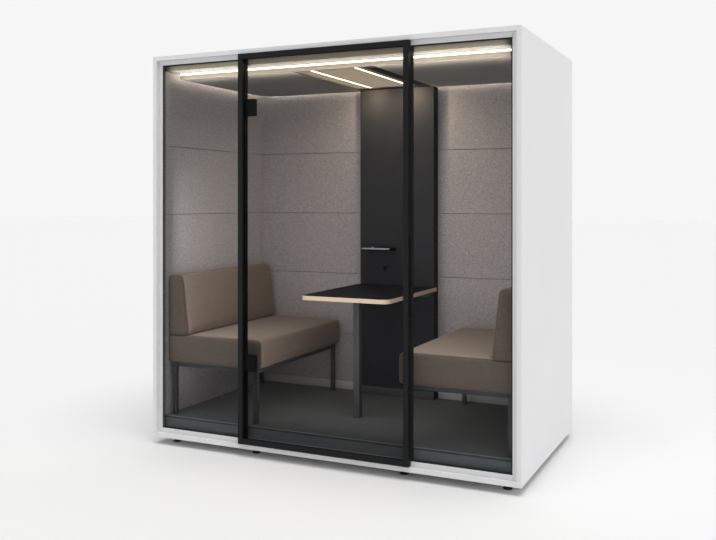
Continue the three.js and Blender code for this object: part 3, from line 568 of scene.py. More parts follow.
@dataclass(frozen=True)
class WovenWool(Finish):
    """Plain-woven wool: crossing yarns with a melange of taupe, a soft sheen at grazing angles.

    The yarn is drawn at about twice its real width, to show from a step away.
    """

    dark: str = "#60544c"
    light: str = "#83746a"
    yarn_mm: float = 3.2
    yarn_depth_mm: float = 0.12
    weave_share: float = 0.05
    melange_mm: float = 9.0

    def surface(self, tree: bpy.types.NodeTree) -> bpy.types.NodeSocket:
        """Yarns over and under along all three axes, so that no map is needed.

        Args:
            tree: Empty node tree of the material.

        Returns:
            The shader socket for the material output.
        """
        place = put(tree, "ShaderNodeTexCoord").outputs["Object"]
        scaled = put(
            tree,
            "ShaderNodeVectorMath",
            {0: place, 3: math.pi * per_mm(self.yarn_mm)},
            operation="SCALE",
        )
        wave = put(tree, "ShaderNodeVectorMath", {0: scaled.outputs[0]}, operation="SINE")
        parts = put(tree, "ShaderNodeSeparateXYZ", {"Vector": wave.outputs[0]})
        crossings = []
        for one, other in (("X", "Y"), ("Y", "Z"), ("Z", "X")):
            pair = {0: parts.outputs[one], 1: parts.outputs[other]}
            crossings.append(put(tree, "ShaderNodeMath", pair, operation="MULTIPLY"))
        weave = crossings[0]
        for crossing in crossings[1:]:
            pair = {0: weave.outputs[0], 1: crossing.outputs[0]}
            weave = put(tree, "ShaderNodeMath", pair, operation="ADD")
        melange = put(
            tree,
            "ShaderNodeTexNoise",
            {"Vector": place, "Scale": per_mm(self.melange_mm), "Detail": 6.0, "Roughness": 0.7},
        )
        share = put(
            tree,
            "ShaderNodeMath",
            {0: weave.outputs[0], 1: self.weave_share, 2: melange.outputs["Fac"]},
            operation="MULTIPLY_ADD",
        )
        spread = put(
            tree,
            "ShaderNodeMapRange",
            {"Value": share.outputs[0], "From Min": 0.2, "From Max": 0.8},
        )
        tint = put(
            tree,
            "ShaderNodeMix",
            {0: spread.outputs["Result"], 6: linear(self.dark), 7: linear(self.light)},
            data_type="RGBA",
        )
        bump = put(
            tree,
            "ShaderNodeBump",
            {"Height": weave.outputs[0], "Strength": 0.3, "Distance": self.yarn_depth_mm * MM},
        )
        shader = put(
            tree,
            "ShaderNodeBsdfPrincipled",
            {
                "Base Color": tint.outputs[2],
                "Roughness": 0.9,
                "Specular IOR Level": 0.1,
                "Sheen Weight": 0.15,
                "Sheen Roughness": 0.5,
                "Normal": bump.outputs["Normal"],
            },
        )
        return shader.outputs["BSDF"]


@dataclass(frozen=True)
class Diffuser(Finish):
    """Opal light diffuser: a warm white band that glows by itself."""

    strength: float
    colour: str = "#fff3df"
    frost_mm: float = 4.0

    def surface(self, tree: bpy.types.NodeTree) -> bpy.types.NodeSocket:
        """A frosted plastic that gives off light.

        Args:
            tree: Empty node tree of the material.

        Returns:
            The shader socket for the material output.
        """
        place = put(tree, "ShaderNodeTexCoord").outputs["Object"]
        frost = put(
            tree,
            "ShaderNodeTexNoise",
            {"Vector": place, "Scale": per_mm(self.frost_mm), "Detail": 2.0},
        )
        gloss = put(
            tree,
            "ShaderNodeMapRange",
            {"Value": frost.outputs["Fac"], "To Min": 0.4, "To Max": 0.6},
        )
        shader = put(
            tree,
            "ShaderNodeBsdfPrincipled",
            {
                "Base Color": linear(self.colour),
                "Roughness": gloss.outputs["Result"],
                "Emission Color": linear(self.colour),
                "Emission Strength": self.strength,
            },
        )
        return shader.outputs["BSDF"]


# Matt lacquer on board: white, with the faint waviness that a sprayed coat keeps
WHITE_LACQUER = Coated(
    "matt white lacquer",
    colour="#e9e9ea",
    cloud="#e3e3e5",
    cloud_mm=420.0,
    grit_mm=3.0,
    grit_depth_mm=0.015,
    roughness=0.42,
)
# Powder coat on aluminium mouldings: white with a tight orange peel
WHITE_POWDER = Coated(
    "white powder coat",
    colour="#dfdfe0",
    cloud="#d9d9da",
    cloud_mm=250.0,
    grit_mm=2.2,
    grit_depth_mm=0.03,
    roughness=0.5,
)
# Fine-textured powder coat on door frame, posts, hinges and shelf: black, with hardly a highlight
BLACK_POWDER = Coated(
    "black powder coat",
    colour="#151616",
    cloud="#1a1b1b",
    cloud_mm=120.0,
    grit_mm=1.8,
    grit_depth_mm=0.03,
    roughness=0.55,
    specular=0.15,
)
# Powder coat on the square tube of the benches and the table: graphite with a soft highlight
TUBE_POWDER = Coated(
    "graphite powder coat",
    colour="#424346",
    cloud="#48494c",
    cloud_mm=90.0,
    grit_mm=1.8,
    grit_depth_mm=0.03,
    roughness=0.48,
    specular=0.35,
)
# Melamine laminate of the column and the ceiling's centre panel: flat, dark and without shine
ANTHRACITE_LAMINATE = Coated(
    "anthracite laminate",
    colour="#333438",
    cloud="#37383c",
    cloud_mm=160.0,
    grit_mm=4.0,
    grit_depth_mm=0.001,
    roughness=0.7,
    roughness_spread=0.01,
    specular=0.03,
)
# Film-faced board of the raised floor: grey with a dull grain
PLATFORM_BOARD = Coated(
    "grey film-faced board",
    colour="#55575a",
    cloud="#5e6062",
    cloud_mm=60.0,
    grit_mm=2.4,
    grit_depth_mm=0.04,
    roughness=0.65,
)
# Moulded ABS of the socket, the fan and the feet: black with a fine moulded grain
BLACK_ABS = Coated(
    "moulded black plastic",
    colour="#171819",
    cloud="#1d1e1f",
    cloud_mm=40.0,
    grit_mm=1.2,
    grit_depth_mm=0.04,
    roughness=0.55,
)
# Moulded ABS of the roof grille: white with the same grain
WHITE_ABS = Coated(
    "moulded white plastic",
    colour="#dcdcda",
    cloud="#d4d4d2",
    cloud_mm=40.0,
    grit_mm=1.2,
    grit_depth_mm=0.03,
    roughness=0.5,
)
# Extruded rubber of the door seal and the beads: black and dull
SEAL_RUBBER = Coated(
    "extruded black rubber",
    colour="#121212",
    cloud="#1a1a1a",
    cloud_mm=30.0,
    grit_mm=1.0,
    grit_depth_mm=0.05,
    roughness=0.8,
)
# Ground steel of the hinge pins and screws: metal with a satin break in the highlight
PIN_STEEL = Coated(
    "ground steel",
    colour="#a7a9ab",
    cloud="#9a9c9e",
    cloud_mm=12.0,
    grit_mm=0.8,
    grit_depth_mm=0.02,
    roughness=0.3,
    metallic=1.0,
)
# Anodised aluminium of the shelf trim: bright and satin
SATIN_ALUMINIUM = Coated(
    "anodised aluminium",
    colour="#d6d7d9",
    cloud="#c8c9cb",
    cloud_mm=20.0,
    grit_mm=0.8,
    grit_depth_mm=0.02,
    roughness=0.32,
    metallic=1.0,
)
# Anodised aluminium of the carpet strip: worn dull
DULL_ALUMINIUM = Coated(
    "dull anodised aluminium",
    colour="#8d8f90",
    cloud="#838586",
    cloud_mm=40.0,
    grit_mm=1.0,
    grit_depth_mm=0.02,
    roughness=0.5,
    metallic=0.6,
)
# Painted board at the foot of the column: dark grey, satin
FOOT_PAINT = Coated(
    "painted column foot",
    colour="#4a4b4d",
    cloud="#505153",
    cloud_mm=120.0,
    grit_mm=2.0,
    grit_depth_mm=0.02,
    roughness=0.55,
    specular=0.3,
)
# Painted skirting board: pale grey, satin
SKIRTING_PAINT = Coated(
    "painted skirting",
    colour="#b2b0ae",
    cloud="#bab8b6",
    cloud_mm=120.0,
    grit_mm=2.0,
    grit_depth_mm=0.03,
    roughness=0.55,
)
# Laminated glass: clear in the fixed panes, a shade greyer in the door
CLEAR_PANE = Pane("clear laminated glass", tint="#eff1f1")
DOOR_PANE = Pane("grey laminated glass", tint="#dcdddd")
# Pressed felt: mottled on the walls, dense and almost plain on the ceiling
WALL_FELT = PressedFelt("warm grey wall felt")
RAFT_FELT = PressedFelt(
    "grey ceiling felt",
    dark="#5b5853",
    light="#625e59",
    mottle_mm=18.0,
    nap_mm=0.03,
)
ABSORBER_FELT = PressedFelt(
    "dark absorber felt",
    dark="#41403d",
    light="#464441",
    mottle_mm=22.0,
    nap_mm=0.03,
)
# Tufted carpet: a dark, dull floor of round loops
CARPET = LoopCarpet("looped carpet tile")
# Birch plywood between two laminate sheets: dark faces and a pale, striped edge
TABLE_PLY = LaminatedPly("laminated birch plywood")
# Woven wool on the benches: taupe in two shades, soft to the eye
BENCH_WOOL = WovenWool("taupe woven wool")
# Opal acrylic over light-emitting diodes: an even warm glow
BAND_DIFFUSER = Diffuser("opal band diffuser", strength=2.5)
STRIP_DIFFUSER = Diffuser("opal strip diffuser", strength=3.0)

CAD_FINISHES: dict[Finish, tuple[str, ...]] = {
    WHITE_LACQUER: ("side_panel", "roof_panel", "base_panel", "back_panel"),
    WHITE_POWDER: ("front_frame",),
    BLACK_POWDER: (
        "jamb_post",
        "hinge_frame_leaf",
        "hinge_door_leaf",
        "door_stile",
        "door_rail",
        "column_shelf",
    ),
    PIN_STEEL: ("hinge_pin",),
    SEAL_RUBBER: ("door_seal",),
    CLEAR_PANE: ("fixed_glass",),
    DOOR_PANE: ("door_glass",),
    PLATFORM_BOARD: ("floor_platform",),
    CARPET: ("floor_carpet",),
    WALL_FELT: ("wall_felt",),
    ANTHRACITE_LAMINATE: ("media_column", "ceiling_centre_panel"),
    BLACK_ABS: ("power_socket", "fan_housing", "fan_impeller", "levelling_foot"),
    RAFT_FELT: ("ceiling_raft",),
    ABSORBER_FELT: ("ceiling_absorber",),
    BAND_DIFFUSER: ("raft_edge_light",),
    STRIP_DIFFUSER: ("strip_light",),
    WHITE_ABS: ("roof_grille",),
    TABLE_PLY: ("table_top",),
    TUBE_POWDER: ("table_leg", "table_bracket", "bench_frame"),
    BENCH_WOOL: ("seat_cushion", "backrest"),
}


def dress_frame() -> None:
    """Gives every node of the frame its finish, by the start of its name."""
    for finish, starts in CAD_FINISHES.items():
        for name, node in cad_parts.items():
            if name.startswith(starts):
                node.data.materials.clear()
                node.data.materials.append(finish.material())


def only(piece: bpy.types.Object) -> None:
    """Selects one object and makes it the active one.

    Args:
        piece: Object to select.
    """
    bpy.ops.object.select_all(action="DESELECT")
    piece.select_set(True)
    bpy.context.view_layer.objects.active = piece


@contextmanager
def editing(piece: bpy.types.Object, kind: str = "FACE") -> Iterator[None]:
    """Holds one object in edit mode for a while.

    Args:
        piece: Mesh object to edit.
        kind: VERT, EDGE or FACE selection.

    Yields:
        Nothing, while the object is in edit mode.
    """
    only(piece)
    bpy.ops.object.mode_set(mode="EDIT")
    bpy.ops.mesh.select_mode(type=kind)
    try:
        yield
    finally:
        bpy.ops.object.mode_set(mode="OBJECT")


def choose(piece: bpy.types.Object, test: Callable[[Vector, Vector], bool]) -> None:
    """Selects the faces that pass a test, in object mode, and nothing else.

    Args:
        piece: Mesh object.
        test: Takes a face's middle and normal.
    """
    for group in (piece.data.vertices, piece.data.edges):
        group.foreach_set("select", [False] * len(group))
    for face in piece.data.polygons:
        face.select = test(face.center, face.normal)


def block(name: str, low: Vector, high: Vector) -> bpy.types.Object:
    """Adds a box between two corners, with its place in its mesh.

    Args:
        name: Name of the new object.
        low: Lowest corner.
        high: Highest corner.

    Returns:
        The new object.
    """
    bpy.ops.object.select_all(action="DESELECT")
    size = high - low
    bpy.ops.mesh.primitive_cube_add(size=1.0, location=(low + high) / 2)
    piece = bpy.context.active_object
    piece.name = name
    piece.scale = size
    bpy.ops.object.transform_apply(location=True, rotation=True, scale=True)
    return piece


def soften(piece: bpy.types.Object, width: float) -> None:
    """Rounds every edge of a piece by a bevel.

    Args:
        piece: Mesh object.
        width: Bevel width.
    """
    only(piece)
    rounding = piece.modifiers.new("rounding", "BEVEL")
    rounding.width = width
    rounding.segments = 2
    rounding.limit_method = "ANGLE"
    bpy.ops.object.modifier_apply(modifier=rounding.name)
    bpy.ops.object.shade_smooth_by_angle(angle=SMOOTH_ANGLE)


class Fitting:
    """A piece that is added to the frame; each kind has its own finish, slot and body."""

    finish: ClassVar[Finish]
    slot: ClassVar[Slot]
    body: ClassVar[Body] = Body.POD

    def dress(self, piece: bpy.types.Object) -> None:
        """Gives a finished piece its material and body, and reports it.

        Args:
            piece: Finished object.
        """
        piece.data.materials.clear()
        piece.data.materials.append(self.finish.material())
        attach(piece, self.body.value)
        log.info("%s: %d faces on %s", piece.name, len(piece.data.polygons), self.body.value)

    def board(self, name: str, low: Vector, high: Vector, rounding: float) -> bpy.types.Object:
        """Makes a box with rounded edges between two corners, and dresses it.

        Args:
            name: Name of the piece.
            low: Lowest corner.
            high: Highest corner.
            rounding: Bevel width of its edges.

        Returns:
            The finished piece.
        """
        piece = block(name, low, high)
        soften(piece, rounding)
        self.dress(piece)
        return piece


@dataclass
class Cushion(Fitting):
    """One upholstered block: firm foam under wool, swollen a little between its sewn edges.

    The form starts from the frame's own solid, so it fits the bench and the wall.
    """

    finish = BENCH_WOOL
    slot = Slot.UPHOLSTERY

    name: str
    node: str
    side: Side
    under: str | None = None
    voxel: float = 0.010
    cover: float = 0.003
    swell: float = 0.004
    pressure: float = 3.0
    cloth_mass: float = 0.4
    stretch: float = 25.0
    shear: float = 12.0
    bend: float = 2.0
    frames: int = 14
    evening: float = 0.4
    evening_rounds: int = 2
    fill: float = 0.9
    edge_turn: float = 0.93
    overhang: float = 0.005
    back_margin: float = 0.012
    back_gap: float = 0.0005

    def build(self) -> bpy.types.Object:
        """Makes the cushion in place of its solid.

        Returns:
            The finished cushion.
        """
        piece = self.blank()
        self.inflate(piece)
        self.smooth(piece)
        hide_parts(self.node)
        self.dress(piece)
        return piece

    def blank(self) -> bpy.types.Object:
        """Copies the solid, meshes it evenly and adds the thickness of the cover.

        Returns:
            The even blank.
        """
        piece = bpy.data.objects.new(self.name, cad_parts[self.node].data.copy())
        bpy.context.scene.collection.objects.link(piece)
        with editing(piece, "VERT"):
            bpy.ops.mesh.select_all(action="SELECT")
            bpy.ops.mesh.remove_doubles(threshold=MERGE)
            bpy.ops.mesh.normals_make_consistent(inside=False)
        only(piece)
        even = piece.modifiers.new("even", "REMESH")
        even.mode = "VOXEL"
        even.voxel_size = self.voxel
        bpy.ops.object.modifier_apply(modifier=even.name)
        wrap = piece.modifiers.new("wrap", "DISPLACE")
        wrap.direction = "NORMAL"
        wrap.mid_level = 0.0
        wrap.strength = self.cover
        bpy.ops.object.modifier_apply(modifier=wrap.name)
        return piece

    def inflate(self, piece: bpy.types.Object) -> None:
        """Swells the cover under pressure between its sewn edges, no further than the cap.

        Args:
            piece: The even blank.
        """
        start = [v.co.copy() for v in piece.data.vertices]
        seams = piece.vertex_groups.new(name="seams")
        corners = [v for v in piece.data.vertices if max(abs(n) for n in v.normal) < self.edge_turn]
        seams.add([v.index for v in corners], 1.0, "REPLACE")
        only(piece)
        cloth = piece.modifiers.new("cover", "CLOTH")
        cloth.settings.quality = 4
        cloth.settings.mass = self.cloth_mass
        cloth.settings.tension_stiffness = self.stretch
        cloth.settings.compression_stiffness = self.stretch
        cloth.settings.shear_stiffness = self.shear
        cloth.settings.bending_stiffness = self.bend
        cloth.settings.vertex_group_mass = seams.name
        cloth.settings.use_pressure = True
        cloth.settings.uniform_pressure_force = self.pressure
        cloth.settings.effector_weights.gravity = 0.0
        cloth.collision_settings.use_collision = False
        scene = bpy.context.scene
        for step in range(1, self.frames + 1):
            scene.frame_set(step)
        bpy.ops.object.modifier_apply(modifier=cloth.name)
        scene.frame_set(1)
        for vertex, was in zip(piece.data.vertices, start):
            move = vertex.co - was
            if move.length > self.swell:
                move.length = self.swell
            vertex.co = was + move
        piece.vertex_groups.clear()

    def smooth(self, piece: bpy.types.Object) -> None:
        """Evens out the cover and refines it once, clear of all that it touches.

        Args:
            piece: The swollen cover.
        """
        only(piece)
        evening = piece.modifiers.new("evening", "SMOOTH")
        evening.factor = self.evening
        evening.iterations = self.evening_rounds
        bpy.ops.object.modifier_apply(modifier=evening.name)
        self.keep_clear(piece)
        fine = piece.modifiers.new("fine", "SUBSURF")
        fine.levels = 1
        fine.render_levels = 1
        bpy.ops.object.modifier_apply(modifier=fine.name)
        bpy.ops.object.shade_smooth()

    def keep_clear(self, piece: bpy.types.Object) -> None:
        """Holds the cover off the wall, the frame below it and the cushion that stands on it.

        Args:
            piece: The evened cover.
        """
        low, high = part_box(self.node)
        sign = self.side.value
        wall = max(abs(low.x), abs(high.x))
        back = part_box(self.under) if self.under else None
        for vertex in piece.data.vertices:
            place = vertex.co
            place.z = max(place.z, low.z)
            place.x = sign * min(sign * place.x, wall)
            place.y = min(max(place.y, low.y - self.overhang), high.y + self.overhang)
            if back and back[0].x - self.back_margin < place.x < back[1].x + self.back_margin:
                place.z = min(place.z, back[0].z - self.back_gap)


@dataclass
class GlazingBead(Fitting):
    """Black rubber bead round a fixed pane, on its outer or inner face."""

    finish = SEAL_RUBBER
    slot = Slot.SEAL

    side: Side
    face: PaneFace
    width: float = 0.006
    depth: float = 0.004
    rounding: float = 0.0012

    def build(self) -> bpy.types.Object:
        """Makes the ring on the face of its pane.

        Returns:
            The finished bead.
        """
        low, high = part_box(f"fixed_glass_{self.side.word}")
        y = low.y - TOUCH if self.face is PaneFace.OUTER else high.y + TOUCH
        out = (0, self.face.value * self.depth, 0)
        bpy.ops.object.select_all(action="DESELECT")
        middle = ((low.x + high.x) / 2, y, (low.z + high.z) / 2)
        bpy.ops.mesh.primitive_plane_add(size=1.0, location=middle, rotation=(QUARTER_TURN, 0, 0))
        piece = bpy.context.active_object
        piece.name = f"glazing_bead_{self.side.word}_{self.face.word}"
        piece.scale = (high.x - low.x, high.z - low.z, 1.0)
        bpy.ops.object.transform_apply(location=True, rotation=True, scale=True)
        with editing(piece):
            bpy.ops.mesh.select_all(action="SELECT")
            bpy.ops.mesh.inset(thickness=self.width, use_boundary=True)
            bpy.ops.mesh.delete(type="FACE")
            bpy.ops.mesh.select_all(action="SELECT")
            bpy.ops.mesh.extrude_region_move(TRANSFORM_OT_translate={"value": out})
            bpy.ops.mesh.select_all(action="SELECT")
            bpy.ops.mesh.normals_make_consistent(inside=False)
        soften(piece, self.rounding)
        self.dress(piece)
        return piece


@dataclass
class Skirting(Fitting):
    """Painted board in the recess along the foot of a back wall panel."""

    finish = SKIRTING_PAINT
    slot = Slot.PLATFORM

    side: Side
    height: float = SKIRTING_HEIGHT
    recess: float = 0.005
    rounding: float = 0.0015

    def build(self) -> bpy.types.Object:
        """Makes the board on the carpet, flush with the felt above it.

        Returns:
            The finished skirting.
        """
        low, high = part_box(f"wall_felt_back_{self.side.word}")
        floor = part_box("floor_carpet")[1].z + TOUCH
        corner = Vector((low.x + TOUCH, low.y + TOUCH, floor))
        far = Vector((high.x - TOUCH, low.y + self.recess - TOUCH, floor + self.height))
        return self.board(f"skirting_{self.side.word}", corner, far, self.rounding)


@dataclass
class ColumnFoot(Fitting):
    """Painted board across the foot of the column, in line with the skirting."""

    finish = FOOT_PAINT
    slot = Slot.PLATFORM

    height: float = SKIRTING_HEIGHT
    thickness: float = 0.004
    rounding: float = 0.0012

    def build(self) -> bpy.types.Object:
        """Makes the board on the carpet, on the face of the column.

        Returns:
            The finished board.
        """
        low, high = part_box("media_column")
        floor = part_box("floor_carpet")[1].z + TOUCH
        corner = Vector((low.x, low.y - TOUCH - self.thickness, floor))
        far = Vector((high.x, low.y - TOUCH, floor + self.height))
        return self.board("column_foot", corner, far, self.rounding)


@dataclass
class CarpetStrip(Fitting):
    """Flat aluminium strip that holds the carpet down along its front edge."""

    finish = DULL_ALUMINIUM
    slot = Slot.METAL

    width: float = 0.012
    thickness: float = 0.0018
    rounding: float = 0.0006

    def build(self) -> bpy.types.Object:
        """Makes the strip from wall to wall.

        Returns:
            The finished strip.
        """
        low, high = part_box("floor_carpet")
        corner = Vector((low.x + TOUCH, low.y, high.z + TOUCH))
        far = Vector((high.x - TOUCH, low.y + self.width, high.z + TOUCH + self.thickness))
        return self.board("carpet_edge_strip", corner, far, self.rounding)


@dataclass
class ShelfTrim(Fitting):
    """Bright edge strip along the front of the column shelf, with a small round stop on it."""

    finish = SATIN_ALUMINIUM
    slot = Slot.METAL

    strip: float = 0.0035
    strip_inset: float = 0.005
    strip_drop: float = 0.009
    strip_lip: float = 0.0005
    strip_rounding: float = 0.0008
    stop_radius: float = 0.0055
    stop_height: float = 0.012
    stop_sunk: float = 0.004
    stop_from_left: float = 0.078
    stop_from_front: float = 0.011
    stop_rounding: float = 0.001
    gap: float = 0.0002

    def build(self) -> list[bpy.types.Object]:
        """Makes the strip and the stop.

        Returns:
            Both pieces.
        """
        low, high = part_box("column_shelf")
        corner = Vector((low.x + self.strip_inset, low.y - self.strip, high.z - self.strip_drop))
        far = Vector((high.x - self.strip_inset, low.y - self.gap, high.z + self.strip_lip))
        strip = self.board("shelf_edge_strip", corner, far, self.strip_rounding)
        bpy.ops.object.select_all(action="DESELECT")
        z = high.z + self.gap + self.stop_height / 2 - self.stop_sunk
        middle = (low.x + self.stop_from_left, low.y + self.stop_from_front, z)
        bpy.ops.mesh.primitive_cylinder_add(
            vertices=32, radius=self.stop_radius, depth=self.stop_height, location=middle
        )
        stop = bpy.context.active_object
        stop.name = "shelf_stop"
        bpy.ops.object.transform_apply(location=True, rotation=True, scale=True)
        soften(stop, self.stop_rounding)
        self.dress(stop)
        return [strip, stop]


@dataclass
class HingeScrews(Fitting):
    """Two socket screws in the clamp of each hinge, seen from inside the pod."""

    finish = PIN_STEEL
    slot = Slot.METAL
    body = Body.DOOR

    level: HingeLevel
    radius: float = 0.007
    head: float = 0.002
    socket: float = 0.0035
    socket_share: float = 0.7
    spacing: float = 0.05
    from_edge: float = 0.042
    facing: float = 0.9
    rounding: float = 0.0004
    gap: float = 0.0002

    def build(self) -> list[bpy.types.Object]:
        """Models the lower screw and copies it to the upper place.

        Returns:
            The screws of this hinge.
        """
        low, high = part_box(f"hinge_door_leaf_{self.level.word}")
        z = (low.z + high.z) / 2 - self.spacing / 2
        first = self.screw(Vector((high.x - self.from_edge, high.y + self.gap, z)))
        only(first)
        bpy.ops.object.duplicate(linked=False)
        second = bpy.context.active_object
        second.location.z += self.spacing
        bpy.ops.object.transform_apply(location=True, rotation=True, scale=True)
        screws = [first, second]
        for number, screw in enumerate(screws):
            screw.name = f"hinge_screw_{self.level.word}_{number}"
            self.dress(screw)
        return screws

    def screw(self, place: Vector) -> bpy.types.Object:
        """Makes one screw head with a round socket.

        Args:
            place: Middle of its underside.

        Returns:
            The bare screw.
        """
        bpy.ops.object.select_all(action="DESELECT")
        bpy.ops.mesh.primitive_cylinder_add(
            vertices=30,
            radius=self.radius,
            depth=self.head,
            location=place + Vector((0, self.head / 2, 0)),
            rotation=(QUARTER_TURN, 0, 0),
        )
        piece = bpy.context.active_object
        bpy.ops.object.transform_apply(location=True, rotation=True, scale=True)
        choose(piece, lambda middle, normal: normal.y > self.facing)
        down = (0, -self.head * self.socket_share, 0)
        with editing(piece):
            bpy.ops.mesh.inset(thickness=self.radius - self.socket)
            bpy.ops.mesh.extrude_region_move(TRANSFORM_OT_translate={"value": down})
        soften(piece, self.rounding)
        return piece


@dataclass(frozen=True)
class Glow:
    """A lamp before and below an edge: its offsets, turn, beam and power."""

    before: float
    below: float
    turn: float
    spread: float
    watts: float


@dataclass
class CabinLamps:
    """Lamps that stand for the light of the diffusers and of the room, unseen themselves."""

    warm: str = "#fff0dc"
    amber: str = "#ffe2b7"
    plain: str = "#fffaf6"
    slit_watts: float = 1.0
    slit_share: float = 0.8
    slit_gap: float = 0.0005
    fascia: Glow = Glow(0.064, 0.032, math.radians(120), math.radians(60), 2.2)
    rim: Glow = Glow(0.075, 0.06, math.radians(135), math.radians(80), 3.9)
    glow_height: float = 0.01
    strip_watts: float = 2.5
    strip_gap: float = 0.004
    pool: Glow = Glow(0.02, 0.01, math.radians(40), math.pi, 1.2)
    pool_size: tuple[float, float] = (0.03, 0.03)
    panel_watts: float = 13.0
    panel_below: float = 0.06
    panel_past: tuple[float, float] = (0.09, 0.02)
    panel_spread: float = math.radians(65)
    front_watts: float = 11.0
    front_size: tuple[float, float] = (2.0, 1.3)
    front_height: float = 0.95
    front_inset: float = 0.01

    def build(self) -> None:
        """Lights the slits round the raft, the raft itself, the strips and the cabin."""
        self.slits()
        self.raft_glow()
        self.strips()
        self.front()

    def slits(self) -> None:
        """A thin lamp on each outer face of the band, shining on the wall beside it."""
        low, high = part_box("raft_edge_light")
        middle = (low + high) / 2
        reach = high - low
        height = reach.z * self.slit_share
        off, turn = self.slit_gap, QUARTER_TURN
        spans = (
            ("front", (middle.x, low.y - off, middle.z), (-turn, 0, 0), reach.x),
            ("back", (middle.x, high.y + off, middle.z), (turn, 0, 0), reach.x),
            ("left", (low.x - off, middle.y, middle.z), (turn, 0, turn), reach.y),
            ("right", (high.x + off, middle.y, middle.z), (turn, 0, -turn), reach.y),
        )
        for name, place, way, length in spans:
            watts = self.slit_watts * length / reach.x
            self.lamp(f"slit_{name}", place, way, (length, height), watts, self.warm)

    def raft_glow(self) -> None:
        """The shine of the front band on the absorber and on the raft's rim and underside."""
        low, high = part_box("ceiling_raft")
        size = (high.x - low.x, self.glow_height)
        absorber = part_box("ceiling_absorber")[0]
        for name, glow, edge in (("fascia", self.fascia, absorber), ("rim", self.rim, low)):
            place = (0.0, edge.y - glow.before, edge.z - glow.below)
            way = (glow.turn, 0, 0)
            self.lamp(name, place, way, size, glow.watts, self.warm, glow.spread)

    def strips(self) -> None:
        """The light of each strip, downward and on the column, and their shine on the panel."""
        pool, up = self.pool, (math.pi, 0, 0)
        for side in Side:
            name = f"strip_light_{side.word}"
            near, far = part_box(name)
            size = (far.x - near.x, far.y - near.y)
            place = ((near.x + far.x) / 2, (near.y + far.y) / 2, near.z - self.strip_gap)
            self.lamp(name, place, (0, 0, 0), size, self.strip_watts, self.warm)
            end = (place[0], far.y - pool.before, near.z - pool.below)
            way = (pool.turn, 0, 0)
            self.lamp(f"{name}_end", end, way, self.pool_size, pool.watts, self.amber, pool.spread)
        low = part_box("strip_light_left")[0]
        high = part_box("strip_light_right")[1]
        left, right = low.x - self.panel_past[0], high.x + self.panel_past[1]
        size = (right - left, high.y - low.y)
        place = ((left + right) / 2, (low.y + high.y) / 2, low.z - self.panel_below)
        self.lamp("panel", place, up, size, self.panel_watts, self.amber, self.panel_spread)

    def front(self) -> None:
        """The room's light through the glass, from just inside it."""
        place = (0.0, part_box("bench_frame_left")[0].y + self.front_inset, self.front_height)
        way = (QUARTER_TURN, 0, 0)
        self.lamp("front", place, way, self.front_size, self.front_watts, self.plain)

    def lamp(
        self,
        name: str,
        place: tuple[float, float, float],
        turn: tuple[float, float, float],
        size: tuple[float, float],
        watts: float,
        colour: str,
        spread: float = math.pi,
    ) -> None:
        """Adds one area lamp that only lights.

        Args:
            name: Name of the lamp.
            place: Its middle.
            turn: Its rotation.
            size: Its width and height.
            watts: Its power.
            colour: Its colour.
            spread: Angle that its beam fills.
        """
        light = bpy.data.lights.new(f"lamp_{name}", "AREA")
        light.shape = "RECTANGLE"
        light.size, light.size_y = size
        light.energy = watts
        light.color = linear(colour)[:3]
        light.spread = spread
        lamp = bpy.data.objects.new(light.name, light)
        lamp.location = place
        lamp.rotation_euler = turn
        lamp.visible_camera = False
        lamp.visible_glossy = False
        lamp.visible_transmission = False
        bpy.context.scene.collection.objects.link(lamp)


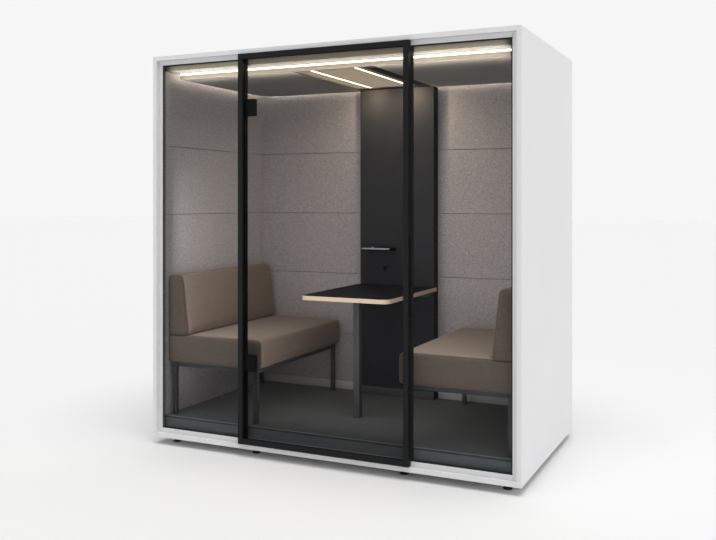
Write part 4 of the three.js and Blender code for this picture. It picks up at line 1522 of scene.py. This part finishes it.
@dataclass
class Studio:
    """Pale floor, soft light from all round and the camera of the photograph."""

    backdrop: str = "#f6f6f6"
    floor_tint: str = "#e8e8e8"
    floor_size: float = 120.0
    floor_drop: float = 0.0005
    sky: float = 0.38
    right_glow: float = 0.55
    right_from: float = 0.2
    sun_strength: float = 2.15
    sun_tilt: float = math.radians(14)
    sun_turn: float = math.radians(30)
    sun_softness: float = math.radians(50)
    camera_place: tuple[float, float, float] = (2.203, -4.790, 1.451)
    camera_turn: float = math.radians(25.178)
    lens_mm: float = 43.64
    sensor_mm: float = 36.0
    shift_up: float = -0.096
    sight: float = 200.0

    def build(self) -> None:
        """Sets the view transform and makes the floor, the light and the camera."""
        bpy.context.scene.view_settings.view_transform = "Standard"
        self.floor()
        self.sky_light()
        self.sun()
        self.camera()

    def floor(self) -> None:
        """A wide pale floor that takes the pod's shadow."""
        bpy.ops.object.select_all(action="DESELECT")
        bpy.ops.mesh.primitive_plane_add(size=self.floor_size, location=(0, 0, -self.floor_drop))
        ground = bpy.context.active_object
        ground.name = "studio_floor"
        made = bpy.data.materials.new("studio paper")
        made.use_nodes = True
        tree = made.node_tree
        tree.nodes.clear()
        paper = put(tree, "ShaderNodeBsdfDiffuse", {"Color": linear(self.floor_tint)})
        put(tree, "ShaderNodeOutputMaterial", {"Surface": paper.outputs["BSDF"]})
        ground.data.materials.append(made)

    def sky_light(self) -> None:
        """Even light, stronger from the right, behind a plain pale backdrop."""
        world = bpy.data.worlds.new("studio sky")
        bpy.context.scene.world = world
        world.use_nodes = True
        tree = world.node_tree
        tree.nodes.clear()
        way = put(tree, "ShaderNodeTexCoord").outputs["Generated"]
        parts = put(tree, "ShaderNodeSeparateXYZ", {"Vector": way})
        right = put(
            tree,
            "ShaderNodeMapRange",
            {
                "Value": parts.outputs["X"],
                "From Min": self.right_from,
                "From Max": 1.0,
                "To Max": self.right_glow,
            },
        )
        level = put(
            tree,
            "ShaderNodeMath",
            {0: right.outputs["Result"], 1: self.sky},
            operation="ADD",
        )
        soft = put(
            tree,
            "ShaderNodeBackground",
            {"Color": (1, 1, 1, 1), "Strength": level.outputs[0]},
        )
        plain = put(
            tree,
            "ShaderNodeBackground",
            {"Color": linear(self.backdrop), "Strength": 1.0},
        )
        path = put(tree, "ShaderNodeLightPath")
        seen = put(
            tree,
            "ShaderNodeMath",
            {0: path.outputs["Is Camera Ray"], 1: path.outputs["Is Glossy Ray"]},
            operation="MAXIMUM",
        )
        shown = put(
            tree,
            "ShaderNodeMath",
            {0: seen.outputs[0], 1: path.outputs["Is Transmission Ray"]},
            operation="MAXIMUM",
        )
        both = put(
            tree,
            "ShaderNodeMixShader",
            {0: shown.outputs[0], 1: soft.outputs["Background"], 2: plain.outputs["Background"]},
        )
        put(tree, "ShaderNodeOutputWorld", {"Surface": both.outputs["Shader"]})

    def sun(self) -> None:
        """One very soft lamp from above and a little in front."""
        light = bpy.data.lights.new("studio_top", "SUN")
        light.energy = self.sun_strength
        light.angle = self.sun_softness
        lamp = bpy.data.objects.new(light.name, light)
        lamp.rotation_euler = (self.sun_tilt, 0, self.sun_turn)
        bpy.context.scene.collection.objects.link(lamp)

    def camera(self) -> None:
        """The photograph's camera: level, with the frame shifted down."""
        view = bpy.data.cameras.new("photo_camera")
        view.sensor_width = self.sensor_mm
        view.lens = self.lens_mm
        view.shift_y = self.shift_up
        view.clip_end = self.sight
        camera = bpy.data.objects.new(view.name, view)
        camera.location = self.camera_place
        camera.rotation_euler = (QUARTER_TURN, 0, self.camera_turn)
        bpy.context.scene.collection.objects.link(camera)
        bpy.context.scene.camera = camera


@dataclass
class Pod:
    """All that is added to the frame, in the order in which it is made."""

    lamps: CabinLamps = field(default_factory=CabinLamps)
    studio: Studio = field(default_factory=Studio)

    def build(self) -> None:
        """Builds the studio, dresses the frame and adds every piece."""
        self.studio.build()
        dress_frame()
        for side in Side:
            back = f"backrest_{side.word}"
            seat = f"seat_cushion_{side.word}"
            Cushion(f"seat_upholstery_{side.word}", seat, side, under=back).build()
            Cushion(f"backrest_upholstery_{side.word}", back, side).build()
            for face in PaneFace:
                GlazingBead(side, face).build()
            Skirting(side).build()
        ColumnFoot().build()
        CarpetStrip().build()
        ShelfTrim().build()
        for level in HingeLevel:
            HingeScrews(level).build()
        self.lamps.build()


def main() -> None:
    """Builds the whole scene and reports each piece."""
    logging.basicConfig(level=logging.INFO, format="%(name)s %(message)s")
    Pod().build()


if __name__ == "__main__":
    main()
